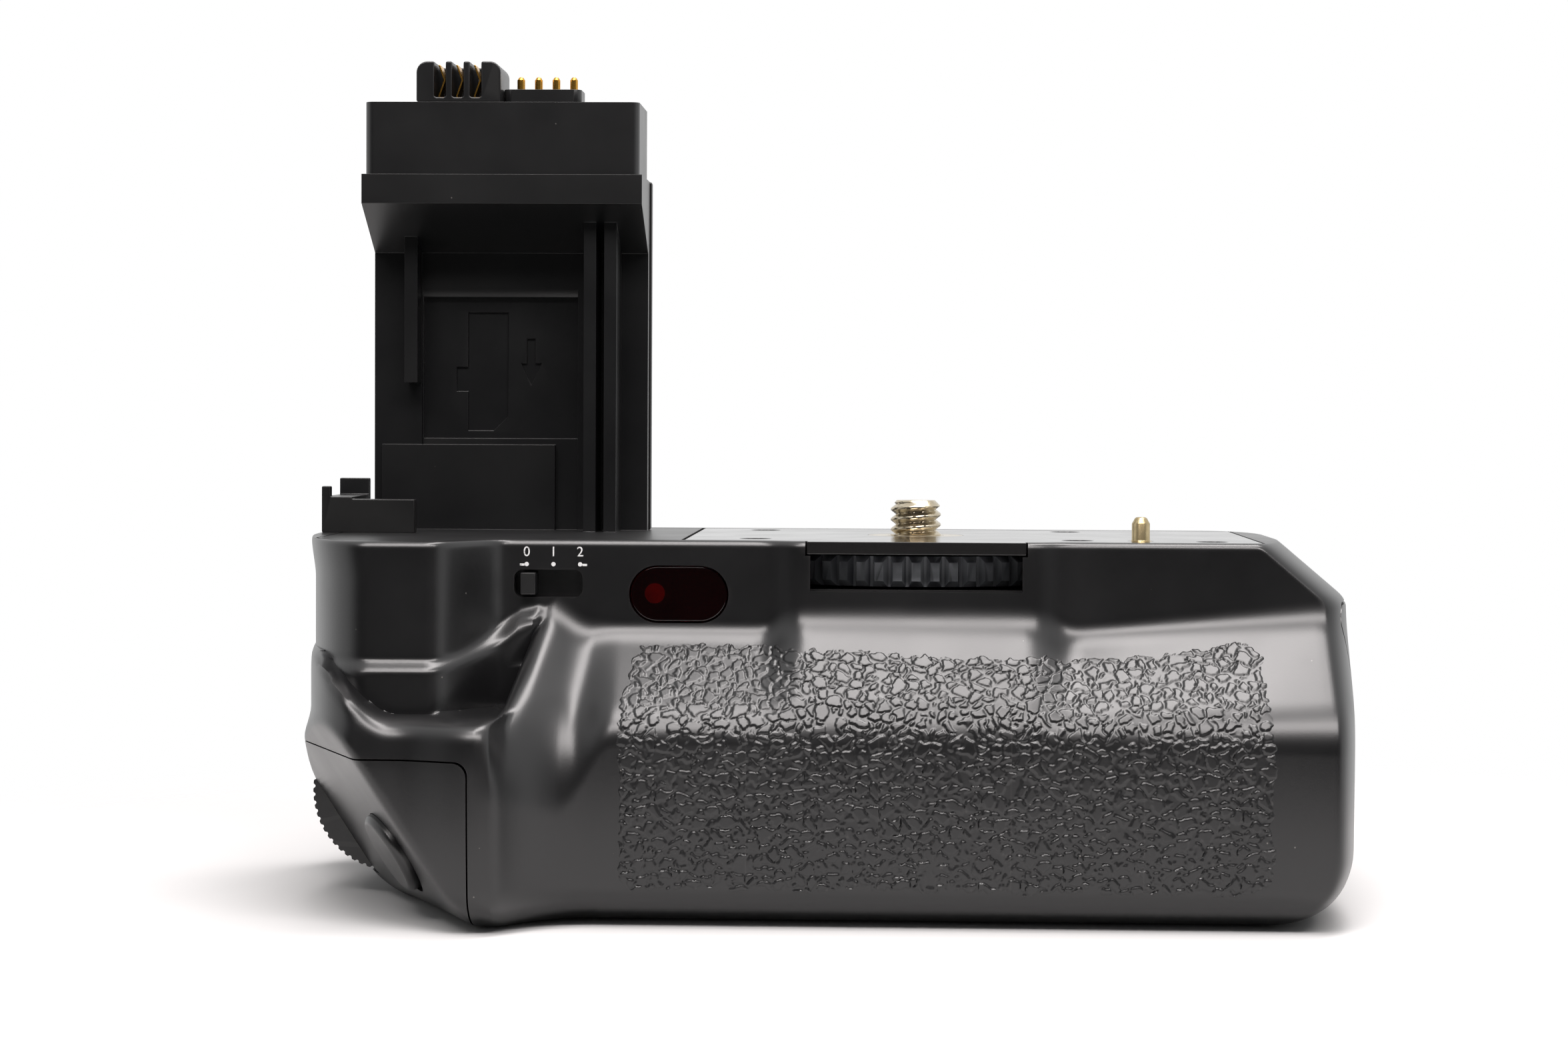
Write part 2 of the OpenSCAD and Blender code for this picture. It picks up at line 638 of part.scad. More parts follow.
module stem_frame() {
    back = stem_d - 1.5;
    color(shell_col)
        union() {
            difference() {
                stem_side([[back, plate_z], [back, cap_z], [0, cap_z], [0, lip_z], [panel_y, slant_z],
                    [panel_y, plate_z]], stem_left, -stem_x);
                stem_side([[panel_y - 1, body_h], [panel_y + 0.8, body_h], [panel_y + 0.8, body_h + 29.3],
                    [panel_y - 0.2, body_h + 32], [panel_y - 1, body_h + 32]], stem_left + 6.2, -stem_x - 9.1);
            }
            stem_rail(stem_left + 4.4, 1.7, panel_y - 3.7, body_h + 19);
            stem_rail(-stem_x - 7.7, 1.6, panel_y - 7, body_h);
            stem_rail(-stem_x - 5.1, 1.6, panel_y - 7, body_h);
            box([stem_left + 1, panel_y - 0.4, body_h], [-stem_x - 12, panel_y + 1, body_h + 11]);
            top_area(top_left, flange_x, seam, plate_z, body_h);
            box([flange_x - 6, -8, plate_z - 1.5], [flange_x + 4, 8, plate_z]);
            for (x = [-51, -32])
                box([x - 1.5, board_y + 1.2, plate_z - 5], [x + 1.5, board_y + 3.4, plate_z + 0.5]);
        }
}

module stem_back() {
    color(shell_col)
        box([stem_left - 0.3, stem_d - 1.5, body_h], [-stem_x + 0.3, stem_d, cap_z]);
}

module rounded_box(from, to, r) {
    size = to - from;
    translate(from) {
        translate([r, 0, 0])
            cube([size[0] - 2 * r, size[1], size[2]]);
        translate([0, r, 0])
            cube([size[0], size[1] - 2 * r, size[2]]);
        for (x = [r, size[0] - r])
            for (y = [r, size[1] - r])
                translate([x, y, 0])
                    cylinder(r = r, h = size[2]);
    }
}

module stem_cap() {
    color(shell_col)
        difference() {
            rounded_box([stem_left + 0.4, 0.3, cap_z], [-stem_x - 0.4, stem_d - 0.3, stem_top], 1.2);
            box([stem_left + 2.2, 2, cap_z - 1], [-stem_x - 2.2, stem_d - 2, stem_top - 3]);
            for (i = [0:2])
                leaf_slot(i, stem_top - 4, stem_top + 1);
            for (i = [0:3])
                disc([pin_at(i), 5.5, stem_top - 4], pin_d / 2, 5);
        }
}

block_x = stem_left + 6.9;
function leaf_at(i) = block_x + block_w / 2 + (i - 1) * contact_pitch - 0.1;
function pin_at(i) = block_x + block_w + 2 + i * contact_pitch;

module leaf_slot(i, z0, z1) {
    box([leaf_at(i) - 0.7, 1.5, z0], [leaf_at(i) + 0.7, 5.5, z1]);
}

module contact_block() {
    color(shell_col)
        difference() {
            translate([block_x, 0.3, stem_top])
                rotate([90, 0, 0])
                    mirror([0, 0, 1])
                        linear_extrude(block_d)
                            union() {
                                square([block_w, block_h - 1.4]);
                                translate([1.4, 0])
                                    square([block_w - 2.8, block_h]);
                                for (x = [1.4, block_w - 1.4])
                                    translate([x, block_h - 1.4])
                                        circle(r = 1.4);
                            }
            for (i = [0:2])
                box([leaf_at(i) - 0.7, -1, stem_top + 0.6], [leaf_at(i) + 0.7, block_d - 1, stem_top + block_h + 1]);
            for (i = [0:2])
                leaf_slot(i, stem_top - 1, stem_top + 1);
        }
}

module leaf_contacts() {
    z0 = stem_top - 3;
    z1 = stem_top + 0.9;
    h = block_h - 1.2;
    color(gold_col)
        for (i = [0:2])
            translate([leaf_at(i), 5, 0])
                rotate([90, 0, 0])
                    linear_extrude(3)
                        polygon([[-0.45, z0 - 1], [-0.2, z0 - 1], [-0.2, z1], [0.5, z1 + h / 2], [-0.2, z1 + h],
                            [-0.45, z1 + h], [0.25, z1 + h / 2], [-0.45, z1]]);
}

module pin_block() {
    x0 = block_x + block_w + 0.1;
    x1 = pin_at(3) + 1.2;
    color(shell_col)
        difference() {
            rounded_box([x0, 2.6, stem_top], [x1, 8.4, stem_top + 1.8], 1);
            for (i = [0:3])
                disc([pin_at(i), 5.5, stem_top - 1], pin_d / 2, 5);
        }
}

module contact_pins() {
    color(gold_col)
        for (i = [0:3])
            translate([pin_at(i), 5.5, stem_top - 4])
                rotate_extrude()
                    polygon([[0, 0], [pin_d / 2, 0], [pin_d / 2, 7.2], [pin_d / 4, 7.6], [0, 7.6]]);
}

module stem_board() {
    color(board_col)
        box([stem_left + 2.2, 2, stem_top - 5.2], [-stem_x - 2.2, stem_d - 2, stem_top - 4]);
}

module door_holder() {
    x0 = stem_left - 4.3;
    x1 = stem_left - seam - 0.3;
    color(shell_col)
        union() {
            box([x0, -4, body_h], [x1, 11, body_h + 4.5]);
            box([x0, -4, body_h], [x0 + 1.1, -2.6, body_h + 5.8]);
            box([x0, 9.5, body_h], [x1, 11, body_h + 6.6]);
            box([x1 - 1, -4, body_h], [stem_left + 7.4, -2, body_h + 4.2]);
        }
}

module thumbwheel() {
    root = wheel_r - tooth_d;
    step = 360 / wheel_teeth;
    color([0.1, 0.1, 0.1])
        difference() {
            intersection() {
                translate([0, 0, wheel_z])
                    linear_extrude(wheel_t)
                        polygon([for (i = [0:wheel_teeth - 1]) for (t = [[-0.42, root], [-0.24, wheel_r],
                            [0.24, wheel_r], [0.42, root]])
                            t[1] * [sin((i + t[0]) * step), cos((i + t[0]) * step)]]);
                translate([0, 0, wheel_z])
                    rotate_extrude()
                        polygon([[0, 0], [wheel_r - 0.9, 0], [wheel_r + 0.1, 0.8], [wheel_r + 0.1, wheel_t - 0.8],
                            [wheel_r - 0.9, wheel_t], [0, wheel_t]]);
            }
            disc([0, 0, wheel_z - 1], hub_r, wheel_t + 2);
            translate([0, 0, wheel_z + wheel_t - 1.2])
                rotate_extrude()
                    translate([hub_r + 2.5, 0])
                        square([root - hub_r - 5, 2]);
        }
}

module camera_screw() {
    r = screw_d / 2;
    color(gold_col)
        rotate_extrude()
            polygon([[0, deck_z - carrier_t], [journal_r, deck_z - carrier_t], [journal_r, wheel_z],
                [hub_r, wheel_z], [hub_r, wheel_z + wheel_t], [neck_r, wheel_z + wheel_t], [neck_r, body_h],
                [r, body_h], [r, body_h + screw_proud - 0.7], [r - 0.7, body_h + screw_proud],
                [0, body_h + screw_proud]]);
}

module screw_bush() {
    color(metal_col)
        translate([0, 0, plate_z])
            difference() {
                cylinder(r = hub_r + 1.8, h = plate_t);
                translate([0, 0, -1])
                    cylinder(r = neck_r + run_gap, h = plate_t + 2);
            }
}

module guide_pin() {
    r = guide_d / 2;
    color(gold_col)
        translate([guide_x, -guide_y, 0])
            rotate_extrude()
                polygon([[0, plate_z - 1.2], [shank_r + 0.8, plate_z - 1.2], [shank_r + 0.8, plate_z], [shank_r, plate_z],
                    [shank_r, body_h], [r, body_h], [r, body_h + guide_proud - 0.8], [r * 0.6, body_h + guide_proud],
                    [0, body_h + guide_proud]]);
}

module tripod_socket() {
    color(metal_col)
        rotate_extrude()
            polygon([[socket_d / 2, 0], [7.5, 0], [7.5, wall], [6, wall], [6, floor_h - chassis_wall],
                [socket_d / 2, floor_h - chassis_wall]]);
}

// A stadium through the band, grown by a gap
module window_plan(gap, y0, y1) {
    r = window_h / 2 + gap;
    half = (window_w - window_h) / 2;
    for (s = [-1, 1])
        pin_y(window_x + s * half, window_z, r, y0, y1);
    box([window_x - half, y0, window_z - r], [window_x + half, y1, window_z + r]);
}

module receiver_window() {
    color([0.6, 0.02, 0.04])
        union() {
            window_plan(-seam / 2, -band_y + 0.2, -band_y + wall + 0.5);
            window_plan(0.3, -band_y + wall + seam / 2, -band_y + wall + 1);
        }
}

module receiver() {
    color([0.05, 0.05, 0.05])
        union() {
            box([window_x - 5, board_y - 1.8, window_z - 2], [window_x - 1, board_y, window_z + 2]);
            pin_y(window_x - 3, window_z, 1.4, board_y - 2.4, board_y - 1.7);
        }
}

module remote_knob() {
    x = slot_x + play + 0.5;
    inner = -band_y + wall + play;
    color([0.12, 0.12, 0.12])
        union() {
            box([x, -band_y - 1.1, slot_z - slot_h / 2 + play], [x + knob_w, inner + 0.5, slot_z + slot_h / 2 - play]);
            box([slot_x - switch_travel - 0.2, inner, slot_z - 2.2], [slot_x + slot_l + 0.15, inner + 1, slot_z + 2.2]);
        }
}

module remote_switch() {
    inner = -band_y + wall + play + 1;
    color(metal_col)
        box([slot_x - 0.5, inner + play, slot_z - 2], [slot_x + 9.5, board_y, slot_z + 2]);
}

module main_board() {
    color(board_col)
        box([slot_x - 5, board_y, body_h - 22], [window_x + 5.8, board_y + 1.2, plate_z - 0.6]);
}

module shutter_button() {
    r = shutter_d / 2;
    color([0.14, 0.14, 0.15])
        on_press()
            rotate_extrude()
                polygon([[0, -4], [r + 0.9, -4], [r + 0.9, -2.9], [r, -2.9], [r, 0.2], [r - 0.6, 0.8],
                    [r * 0.5, 0.6], [0, 0.5]]);
}

module shutter_switch() {
    color(metal_col)
        on_press()
            box([-3, -3, -8], [3, 3, -4 - shutter_travel - play]);
}

module control_board() {
    color(board_col)
        on_press()
            box([-4.5, -9.6, -9], [4.5, 9.6, -8]);
}

module main_dial() {
    color([0.1, 0.1, 0.1])
        translate([dial_p[0], dial_y, dial_p[1]])
            rotate([-90, 0, 0])
                difference() {
                    linear_extrude(dial_w)
                        polygon([for (i = [0:59]) for (t = [[-0.4, -0.25], [-0.2, 0], [0.2, 0], [0.4, -0.25]])
                            (dial_r + t[1]) * [sin((i + t[0]) * 6), cos((i + t[0]) * 6)]]);
                    translate([0, 0, -1])
                        cylinder(r = 1.5 + run_gap, h = dial_w + 2);
                }
}

module dial_axle() {
    color(metal_col)
        pin_y(dial_p[0], dial_p[1], 1.5, dial_y - play - 2, dial_y + dial_w + play + 2);
}

module rear_button(p) {
    face = rear_y + 1;
    color([0.14, 0.14, 0.15])
        translate([p[0], 0, p[1]])
            rotate([-90, 0, 0])
                rotate_extrude()
                    polygon([[0, face - 5], [button_d / 2 + 0.9, face - 5], [button_d / 2 + 0.9, face - 4],
                        [button_d / 2, face - 4], [button_d / 2, face + 1.4], [button_d / 2 - 0.5, face + 1.9],
                        [0, face + 1.9]]);
}

module lock_button() {
    rear_button(button_at[0]);
}

module focus_button() {
    rear_button(button_at[1]);
}

module exposure_button() {
    rear_button(button_at[2]);
}

module button_pad() {
    top = rear_y - 4 - button_travel - play;
    color([0.4, 0.4, 0.4])
        union() {
            box([pad_x0, rear_board_y, 11], [button_at[2][0] + 4, rear_board_y + 0.5, 29]);
            for (p = button_at)
                pin_y(p[0], p[1], 2, rear_board_y, max(rear_board_y + 0.4, top));
        }
}

module rear_board() {
    color(board_col)
        box([pad_x0, rear_board_y - 1.2, 10.5], [power_at[0] + 7, rear_board_y, 33]);
}

module power_knob() {
    inner = rear_y - wall - play;
    x = power_at[0];
    z = power_at[1];
    color([0.12, 0.12, 0.12])
        union() {
            box([x - 2, inner - 0.5, z - 1.2], [x + 2, rear_y + 1.2, z + 1.2]);
            box([x - 2.9, inner - 1, z - 2.2], [x + 2.9, inner, z + 2.2]);
        }
}

module power_switch() {
    inner = rear_y - wall - play - 1;
    color(metal_col)
        box([power_at[0] - 4, rear_board_y, power_at[1] - 2.4], [power_at[0] + 7, inner - play, power_at[1] + 2.4]);
}

module battery_tray() {
    bay_w = cell_w + 2 * cell_gap;
    x0 = -tray_in;
    mid = tray_z + cell_t;
    color([0.2, 0.2, 0.21])
        difference() {
            box([x0, -tray_w / 2, tray_z], [cap_x, tray_w / 2, tray_top]);
            box([x0 + tray_end, -bay_w / 2, mid + tray_web], [cap_x - tray_end, bay_w / 2, tray_top + 1]);
            box([x0 + tray_end, -bay_w / 2, tray_z - 1], [cap_x - tray_end, bay_w / 2, mid]);
            for (y = [-9, 9])
                box([x0 - 1, y - 4.6, tray_z + 2.4], [x0 + tray_end + 1, y + 4.6, tray_top - 2.4]);
            for (y = [-1, 1])
                box([x0 + 16, y * tray_w / 2 - 2, tray_z - 1], [cap_x - 16, y * tray_w / 2 + 2, mid - 4]);
            for (y = [-1, 1])
                box([x0 + 16, y * tray_w / 2 - 2, mid + tray_web + 4], [cap_x - 16, y * tray_w / 2 + 2, tray_top + 1]);
        }
}

module tray_cap() {
    rings = [for (z = cap_rows) concat(
        [for (s = cap_cols) let (x = cap_at(s, z)) [x, front_y(x, z, 0), z]],
        [for (i = [len(cap_cols) - 1:-1:0]) let (x = cap_at(cap_cols[i], z)) [x, rear_face(x, z, 0), z]])];
    color(shell_col)
        difference() {
            intersection() {
                loft(rings);
                door_plan(0, cap_x - 1, body_r + 1);
            }
            box([cap_x - 1, -4.5, tray_knob_z - 4], [cam_x1 + play, cam_l + 1, cap_top + 1]);
            pin_x(0, tray_knob_z, knob_d / 2 + play, recess_x, body_r + 5);
            pin_x(0, tray_knob_z, 2 + run_gap, cap_x - 1, body_r);
        }
}

function cap_at(s, z) = mix(cap_x, right_x(z), (s - cap_x) / cap_d);

module tray_contacts() {
    x0 = -tray_in + tray_end;
    color(gold_col)
        for (z = [tray_z + 6, tray_top - 6])
            for (y = [-16, 16])
                box([x0, y - 1.2, z - 4], [x0 + 0.4, y + 1.2, z + 4]);
}

module tray_knob() {
    face = recess_x + play;
    color([0.14, 0.14, 0.15])
        union() {
            pin_x(0, tray_knob_z, knob_d / 2, face, body_r - 1.5);
            pin_x(0, tray_knob_z, 2, cam_x0, face + 0.5);
            box([body_r - 2, -1.2, tray_knob_z - knob_d / 2 + 0.6], [body_r + 0.4, 1.2, tray_knob_z + knob_d / 2 - 0.6]);
        }
}

module tray_cam() {
    color(metal_col)
        difference() {
            union() {
                box([cam_x0, 0, tray_knob_z - 2.2], [cam_x1, cam_l, tray_knob_z + 2.2]);
                pin_x(0, tray_knob_z, 3.2, cam_x0, cam_x1);
            }
            pin_x(0, tray_knob_z, 2, cam_x0 - 1, cam_x1 + 1);
        }
}

module terminal_block() {
    x1 = -tray_in - play - chassis_wall;
    color([0.1, 0.1, 0.1])
        difference() {
            box([x1 - 6, -15, floor_h], [x1, 15, tray_top - 2]);
            blades(x1 - 5, x1 + 1);
        }
}

module blades(x0, x1) {
    for (y = [-11, -7, 7, 11])
        for (z = [tray_z + 4, tray_top - 10])
            box([x0, y - 0.4, z], [x1, y + 0.4, z + 6]);
}

module terminal_blades() {
    x1 = -tray_in - play - chassis_wall;
    color(gold_col)
        blades(x1 - 5, x1 + 4);
}

module base_screws() {
    color(metal_col)
        for (p = screw_at) {
            disc([p[0], p[1], 0.1], 2.1, 1.1);
            disc([p[0], p[1], 1], 0.95, floor_h - 0.6);
        }
}

module top_screws() {
    color(metal_col)
        for (p = post_at) {
            disc([p[0], p[1], body_h - 0.8], 1.8, 0.6);
            disc([p[0], p[1], deck_z - carrier_t], 0.85, body_h - 0.5 - deck_z + carrier_t);
        }
}

front_shell();
rear_shell();
shutter_housing();
top_plate();
base_plate();
chassis();
stem_frame();
stem_back();
stem_cap();
contact_block();
leaf_contacts();
pin_block();
contact_pins();
stem_board();
door_holder();
thumbwheel();
camera_screw();
screw_bush();
guide_pin();
tripod_socket();
receiver_window();
receiver();
remote_knob();
remote_switch();
main_board();
shutter_button();
shutter_switch();
control_board();
main_dial();
dial_axle();
lock_button();
focus_button();
exposure_button();
button_pad();
rear_board();
power_knob();
power_switch();
battery_tray();
tray_cap();
tray_contacts();
tray_knob();
tray_cam();
terminal_block();
terminal_blades();
base_screws();
top_screws();
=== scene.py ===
import json
import math

import bpy
import numpy as np
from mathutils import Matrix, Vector

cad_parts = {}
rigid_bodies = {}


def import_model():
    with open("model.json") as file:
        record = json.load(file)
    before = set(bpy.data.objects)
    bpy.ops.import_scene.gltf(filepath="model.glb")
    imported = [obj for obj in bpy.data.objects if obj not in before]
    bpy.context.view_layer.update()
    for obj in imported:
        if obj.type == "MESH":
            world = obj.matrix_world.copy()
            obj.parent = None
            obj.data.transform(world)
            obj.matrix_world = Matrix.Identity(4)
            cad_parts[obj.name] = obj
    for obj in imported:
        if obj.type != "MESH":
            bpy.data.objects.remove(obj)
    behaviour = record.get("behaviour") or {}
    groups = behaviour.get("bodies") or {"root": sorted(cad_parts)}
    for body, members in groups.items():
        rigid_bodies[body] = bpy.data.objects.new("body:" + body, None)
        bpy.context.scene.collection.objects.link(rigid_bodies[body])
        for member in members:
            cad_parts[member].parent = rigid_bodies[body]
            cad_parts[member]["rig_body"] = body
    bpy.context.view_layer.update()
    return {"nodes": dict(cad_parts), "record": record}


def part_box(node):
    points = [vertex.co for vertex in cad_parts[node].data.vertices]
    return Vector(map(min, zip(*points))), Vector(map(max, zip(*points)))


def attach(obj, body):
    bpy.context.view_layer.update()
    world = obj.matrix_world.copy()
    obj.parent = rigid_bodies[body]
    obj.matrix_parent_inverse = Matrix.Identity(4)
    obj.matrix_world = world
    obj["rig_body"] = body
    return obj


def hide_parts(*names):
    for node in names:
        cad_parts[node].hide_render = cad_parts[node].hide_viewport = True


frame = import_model()
print("frame loaded")

mm = 0.001  # sizes below are in millimetres, meshes in metres
spare = 1  # a cutter reaches this far past what it cuts


def deselectAll():
    if bpy.context.object and bpy.context.object.mode != "OBJECT":
        bpy.ops.object.mode_set(mode="OBJECT")
    bpy.ops.object.select_all(action="DESELECT")


def makeActive(piece):
    deselectAll()
    piece.select_set(True)
    bpy.context.view_layer.objects.active = piece


def editAll(piece):
    makeActive(piece)
    bpy.ops.object.mode_set(mode="EDIT")
    bpy.ops.mesh.select_mode(type="VERT")
    bpy.ops.mesh.select_all(action="SELECT")


def endEdit():
    bpy.ops.mesh.select_all(action="SELECT")
    bpy.ops.mesh.normals_make_consistent(inside=False)
    bpy.ops.object.mode_set(mode="OBJECT")


def selectBorder():  # the open edges of the mesh in edit mode
    bpy.ops.mesh.select_all(action="DESELECT")
    bpy.ops.mesh.select_non_manifold()


def drawOut(sheet, way):  # a flat sheet becomes a solid along that way
    editAll(sheet)
    shift = tuple(c * mm for c in way)
    bpy.ops.mesh.extrude_region_move(TRANSFORM_OT_translate={"value": shift})
    endEdit()
    return sheet


def settle(name):  # a new primitive's place goes into its mesh
    piece = bpy.context.object
    makeActive(piece)
    bpy.ops.object.transform_apply(location=True, rotation=True, scale=True)
    piece.name = name
    piece.data.name = name
    return piece


def applyModifier(piece, kind, **settings):
    makeActive(piece)
    step = piece.modifiers.new(kind.lower(), kind)
    for key, value in settings.items():
        setattr(step, key, value)
    bpy.ops.object.modifier_apply(modifier=step.name)


def smoothByAngle(piece, degrees):
    makeActive(piece)
    bpy.ops.object.shade_smooth_by_angle(angle=math.radians(degrees))


def joined(name, *pieces):
    deselectAll()
    for piece in pieces:
        piece.select_set(True)
    bpy.context.view_layer.objects.active = pieces[0]
    bpy.ops.object.join()
    pieces[0].name = name
    return pieces[0]


def boxFrom(low, high):
    deselectAll()
    low, high = Vector(low) * mm, Vector(high) * mm
    bpy.ops.mesh.primitive_cube_add(size=1, location=(low + high) / 2, scale=high - low)
    return settle("box")


def rodFrom(start, along, radius, sides=64):  # a cylinder from a point along a vector
    deselectAll()
    start, along = Vector(start), Vector(along)
    turn = Vector((0, 0, 1)).rotation_difference(along).to_euler()
    bpy.ops.mesh.primitive_cylinder_add(
        vertices=sides,
        radius=radius * mm,
        depth=along.length * mm,
        location=(start + along / 2) * mm,
        rotation=turn,
    )
    return settle("rod")


def roundedPrism(low, high, along, radius, segments=6):  # a box, its edges along one axis rounded
    block = boxFrom(low, high)
    editAll(block)
    bpy.ops.mesh.select_all(action="DESELECT")
    bpy.ops.mesh.select_mode(type="EDGE")
    bpy.ops.object.mode_set(mode="OBJECT")
    for edge in block.data.edges:
        a, b = (block.data.vertices[i].co for i in edge.vertices)
        edge.select = abs(a[along] - b[along]) > 0.5 * mm
    bpy.ops.object.mode_set(mode="EDIT")
    bpy.ops.mesh.bevel(offset=radius * mm, segments=segments, affect="EDGES")
    endEdit()
    return block


def carve(piece, *cutters, operation="DIFFERENCE"):
    for cutter in cutters:
        applyModifier(piece, "BOOLEAN", operation=operation, object=cutter, solver="MANIFOLD")
        bpy.data.objects.remove(cutter)
    return piece


def nodeBox(node):  # lowest and highest corner in mm
    return [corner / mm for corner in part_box(node)]


def finishPiece(piece, body, slotName, material, *nodes, angle=32):
    piece.data.materials.clear()
    piece.data.materials.append(material)
    if angle:
        smoothByAngle(piece, angle)
    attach(piece, body)
    if nodes:
        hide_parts(*nodes)
    return piece


# Materials


def linear(hexColour):  # sRGB hex to linear colour
    parts = [int(hexColour[i : i + 2], 16) / 255 for i in (1, 3, 5)]
    return tuple(c / 12.92 if c <= 0.04045 else ((c + 0.055) / 1.055) ** 2.4 for c in parts) + (1.0,)


def addNode(tree, kind, settings=None, links=None):
    node = tree.nodes.new("ShaderNode" + kind)
    for key, value in (settings or {}).items():
        if isinstance(key, int) or key in node.inputs:
            node.inputs[key].default_value = value
        else:
            setattr(node, key, value)
    for key, source in (links or {}).items():
        tree.links.new(source, node.inputs[key])
    return node


def perMm(size):  # texture scale for a feature of that many millimetres
    return 1000.0 / size


def newMaterial(name, settings):
    material = bpy.data.materials.new(name)
    material.use_nodes = True
    tree = material.node_tree
    tree.nodes.clear()
    shader = addNode(tree, "BsdfPrincipled", settings)
    addNode(tree, "OutputMaterial", links={"Surface": shader.outputs["BSDF"]})
    place = addNode(tree, "TexCoord").outputs["Object"]
    return material, tree, shader, place


def mouldedPlastic(name, dark, light, wornAndLitEdge, rough, grain, lift, dust):
    # Injection-moulded ABS: near black with a faint mottle, a satin sheen from a spark-eroded grain,
    # drawn coarser than life so that it shows, slightly paler edges and a few specks of dust; the
    # paler edges are wear, and on the thumbwheel a painted highlight
    material, tree, shader, place = newMaterial(name, {"IOR": 1.58})
    cloud = addNode(tree, "TexNoise", {"Scale": perMm(9), "Detail": 4}, {"Vector": place})
    fine = addNode(tree, "TexNoise", {"Scale": perMm(grain), "Detail": 3}, {"Vector": place})
    base = addNode(
        tree,
        "Mix",
        {"data_type": "RGBA", "A": linear(dark), "B": linear(light)},
        {"Factor": cloud.outputs["Fac"]},
    )
    edge = addNode(
        tree,
        "MapRange",
        {"From Min": 0.52, "From Max": 0.62},
        {"Value": addNode(tree, "NewGeometry").outputs["Pointiness"]},
    )
    wearAndLitEdge = addNode(
        tree,
        "Mix",
        {"data_type": "RGBA", "B": linear(wornAndLitEdge)},
        {"Factor": edge.outputs["Result"], "A": base.outputs["Result"]},
    )
    specks = addNode(tree, "TexVoronoi", {"Scale": perMm(3.4), "Randomness": 1.0}, {"Vector": place})
    speck = addNode(
        tree,
        "MapRange",
        {"From Min": 0.035, "From Max": 0.015, "To Max": dust},
        {"Value": specks.outputs["Distance"]},
    )
    dusty = addNode(
        tree,
        "Mix",
        {"data_type": "RGBA", "B": linear("#8d8984")},
        {"Factor": speck.outputs["Result"], "A": wearAndLitEdge.outputs["Result"]},
    )
    tree.links.new(dusty.outputs["Result"], shader.inputs["Base Color"])
    sheen = addNode(
        tree,
        "MapRange",
        {"To Min": rough - 0.05, "To Max": rough + 0.06},
        {"Value": cloud.outputs["Fac"]},
    )
    tree.links.new(sheen.outputs["Result"], shader.inputs["Roughness"])
    bump = addNode(tree, "Bump", {"Distance": lift * mm}, {"Height": fine.outputs["Fac"]})
    tree.links.new(bump.outputs["Normal"], shader.inputs["Normal"])
    return material


def platedMetal(name, bright, dull, rough):
    # Nickel or gold plate, or plain turned brass: a bright tinted mirror broken by fine turning marks
    # and cloudy handling stains
    material, tree, shader, place = newMaterial(name, {"Metallic": 1.0})
    cloud = addNode(tree, "TexNoise", {"Scale": perMm(1.2), "Detail": 4}, {"Vector": place})
    marks = addNode(tree, "TexNoise", {"Scale": perMm(0.12), "Detail": 2}, {"Vector": place})
    tint = addNode(
        tree,
        "Mix",
        {"data_type": "RGBA", "A": linear(bright), "B": linear(dull)},
        {"Factor": cloud.outputs["Fac"]},
    )
    tree.links.new(tint.outputs["Result"], shader.inputs["Base Color"])
    sheen = addNode(
        tree,
        "MapRange",
        {"To Min": rough - 0.06, "To Max": rough + 0.1},
        {"Value": cloud.outputs["Fac"]},
    )
    tree.links.new(sheen.outputs["Result"], shader.inputs["Roughness"])
    bump = addNode(
        tree, "Bump", {"Strength": 0.5, "Distance": 0.01 * mm}, {"Height": marks.outputs["Fac"]}
    )
    tree.links.new(bump.outputs["Normal"], shader.inputs["Normal"])
    return material


# name, dark, light, worn and lit edge, roughness, grain in mm, its lift in mm, dust
satinAbs = mouldedPlastic("satinBlackAbs", "#0c0c0d", "#131314", "#242323", 0.3, 0.22, 0.005, 0.5)
deckAbs = mouldedPlastic("glossyBlackAbs", "#0c0c0d", "#131314", "#242323", 0.12, 0.4, 0.001, 0.4)
stemAbs = mouldedPlastic("mattBlackAbs", "#08080a", "#0d0e0f", "#1b1b1b", 0.32, 0.16, 0.004, 0.35)
pebbleAbs = mouldedPlastic("pebbledBlackAbs", "#0d0d0e", "#141415", "#262525", 0.32, 0.2, 0.005, 0.5)
keyAbs = mouldedPlastic("fineBlackAbs", "#0b0b0c", "#121213", "#242424", 0.3, 0.18, 0.004, 0.3)
# the thumbwheel's tones and its paler edge tone are painted lighter than its black plastic: painted
# light in its shaded window, with a painted highlight on its edges
wheelAbsPaintedLight = mouldedPlastic("paintedLightWheelAbs", "#46474c", "#56575c", "#7c7e82", 0.3, 0.18, 0.004, 0.3)
innerAbs = mouldedPlastic("plainGreyBlackAbs", "#151516", "#1d1d1e", "#303030", 0.5, 0.3, 0.008, 0.2)

# name, bright, dull, roughness
goldPlate = platedMetal("goldPlatedBrass", "#f0c060", "#b98330", 0.24)
nickelPlate = platedMetal("nickelPlatedSteel", "#dcd6c8", "#a89f90", 0.26)
brassPin = platedMetal("turnedBrass", "#d2c19a", "#8f7d58", 0.28)
screwPlate = platedMetal("warmNickelPlate", "#e4dac4", "#9d8f76", 0.2)


def makeBoardLacquer():
    # Glass-fibre board under green solder lacquer: glossy, with a faint weave and copper tracks below
    material, tree, shader, place = newMaterial("greenBoardLacquer", {"Roughness": 0.3, "IOR": 1.5})
    tracks = addNode(
        tree,
        "TexBrick",
        {
            "Scale": perMm(6),
            "Color1": linear("#0b4a26"),
            "Color2": linear("#0f5a30"),
            "Mortar": linear("#1d7a45"),
        },
        {"Vector": place},
    )
    tree.links.new(tracks.outputs["Color"], shader.inputs["Base Color"])
    weave = addNode(tree, "TexNoise", {"Scale": perMm(0.4), "Detail": 2}, {"Vector": place})
    bump = addNode(tree, "Bump", {"Distance": 0.01 * mm}, {"Height": weave.outputs["Fac"]})
    tree.links.new(bump.outputs["Normal"], shader.inputs["Normal"])
    return material


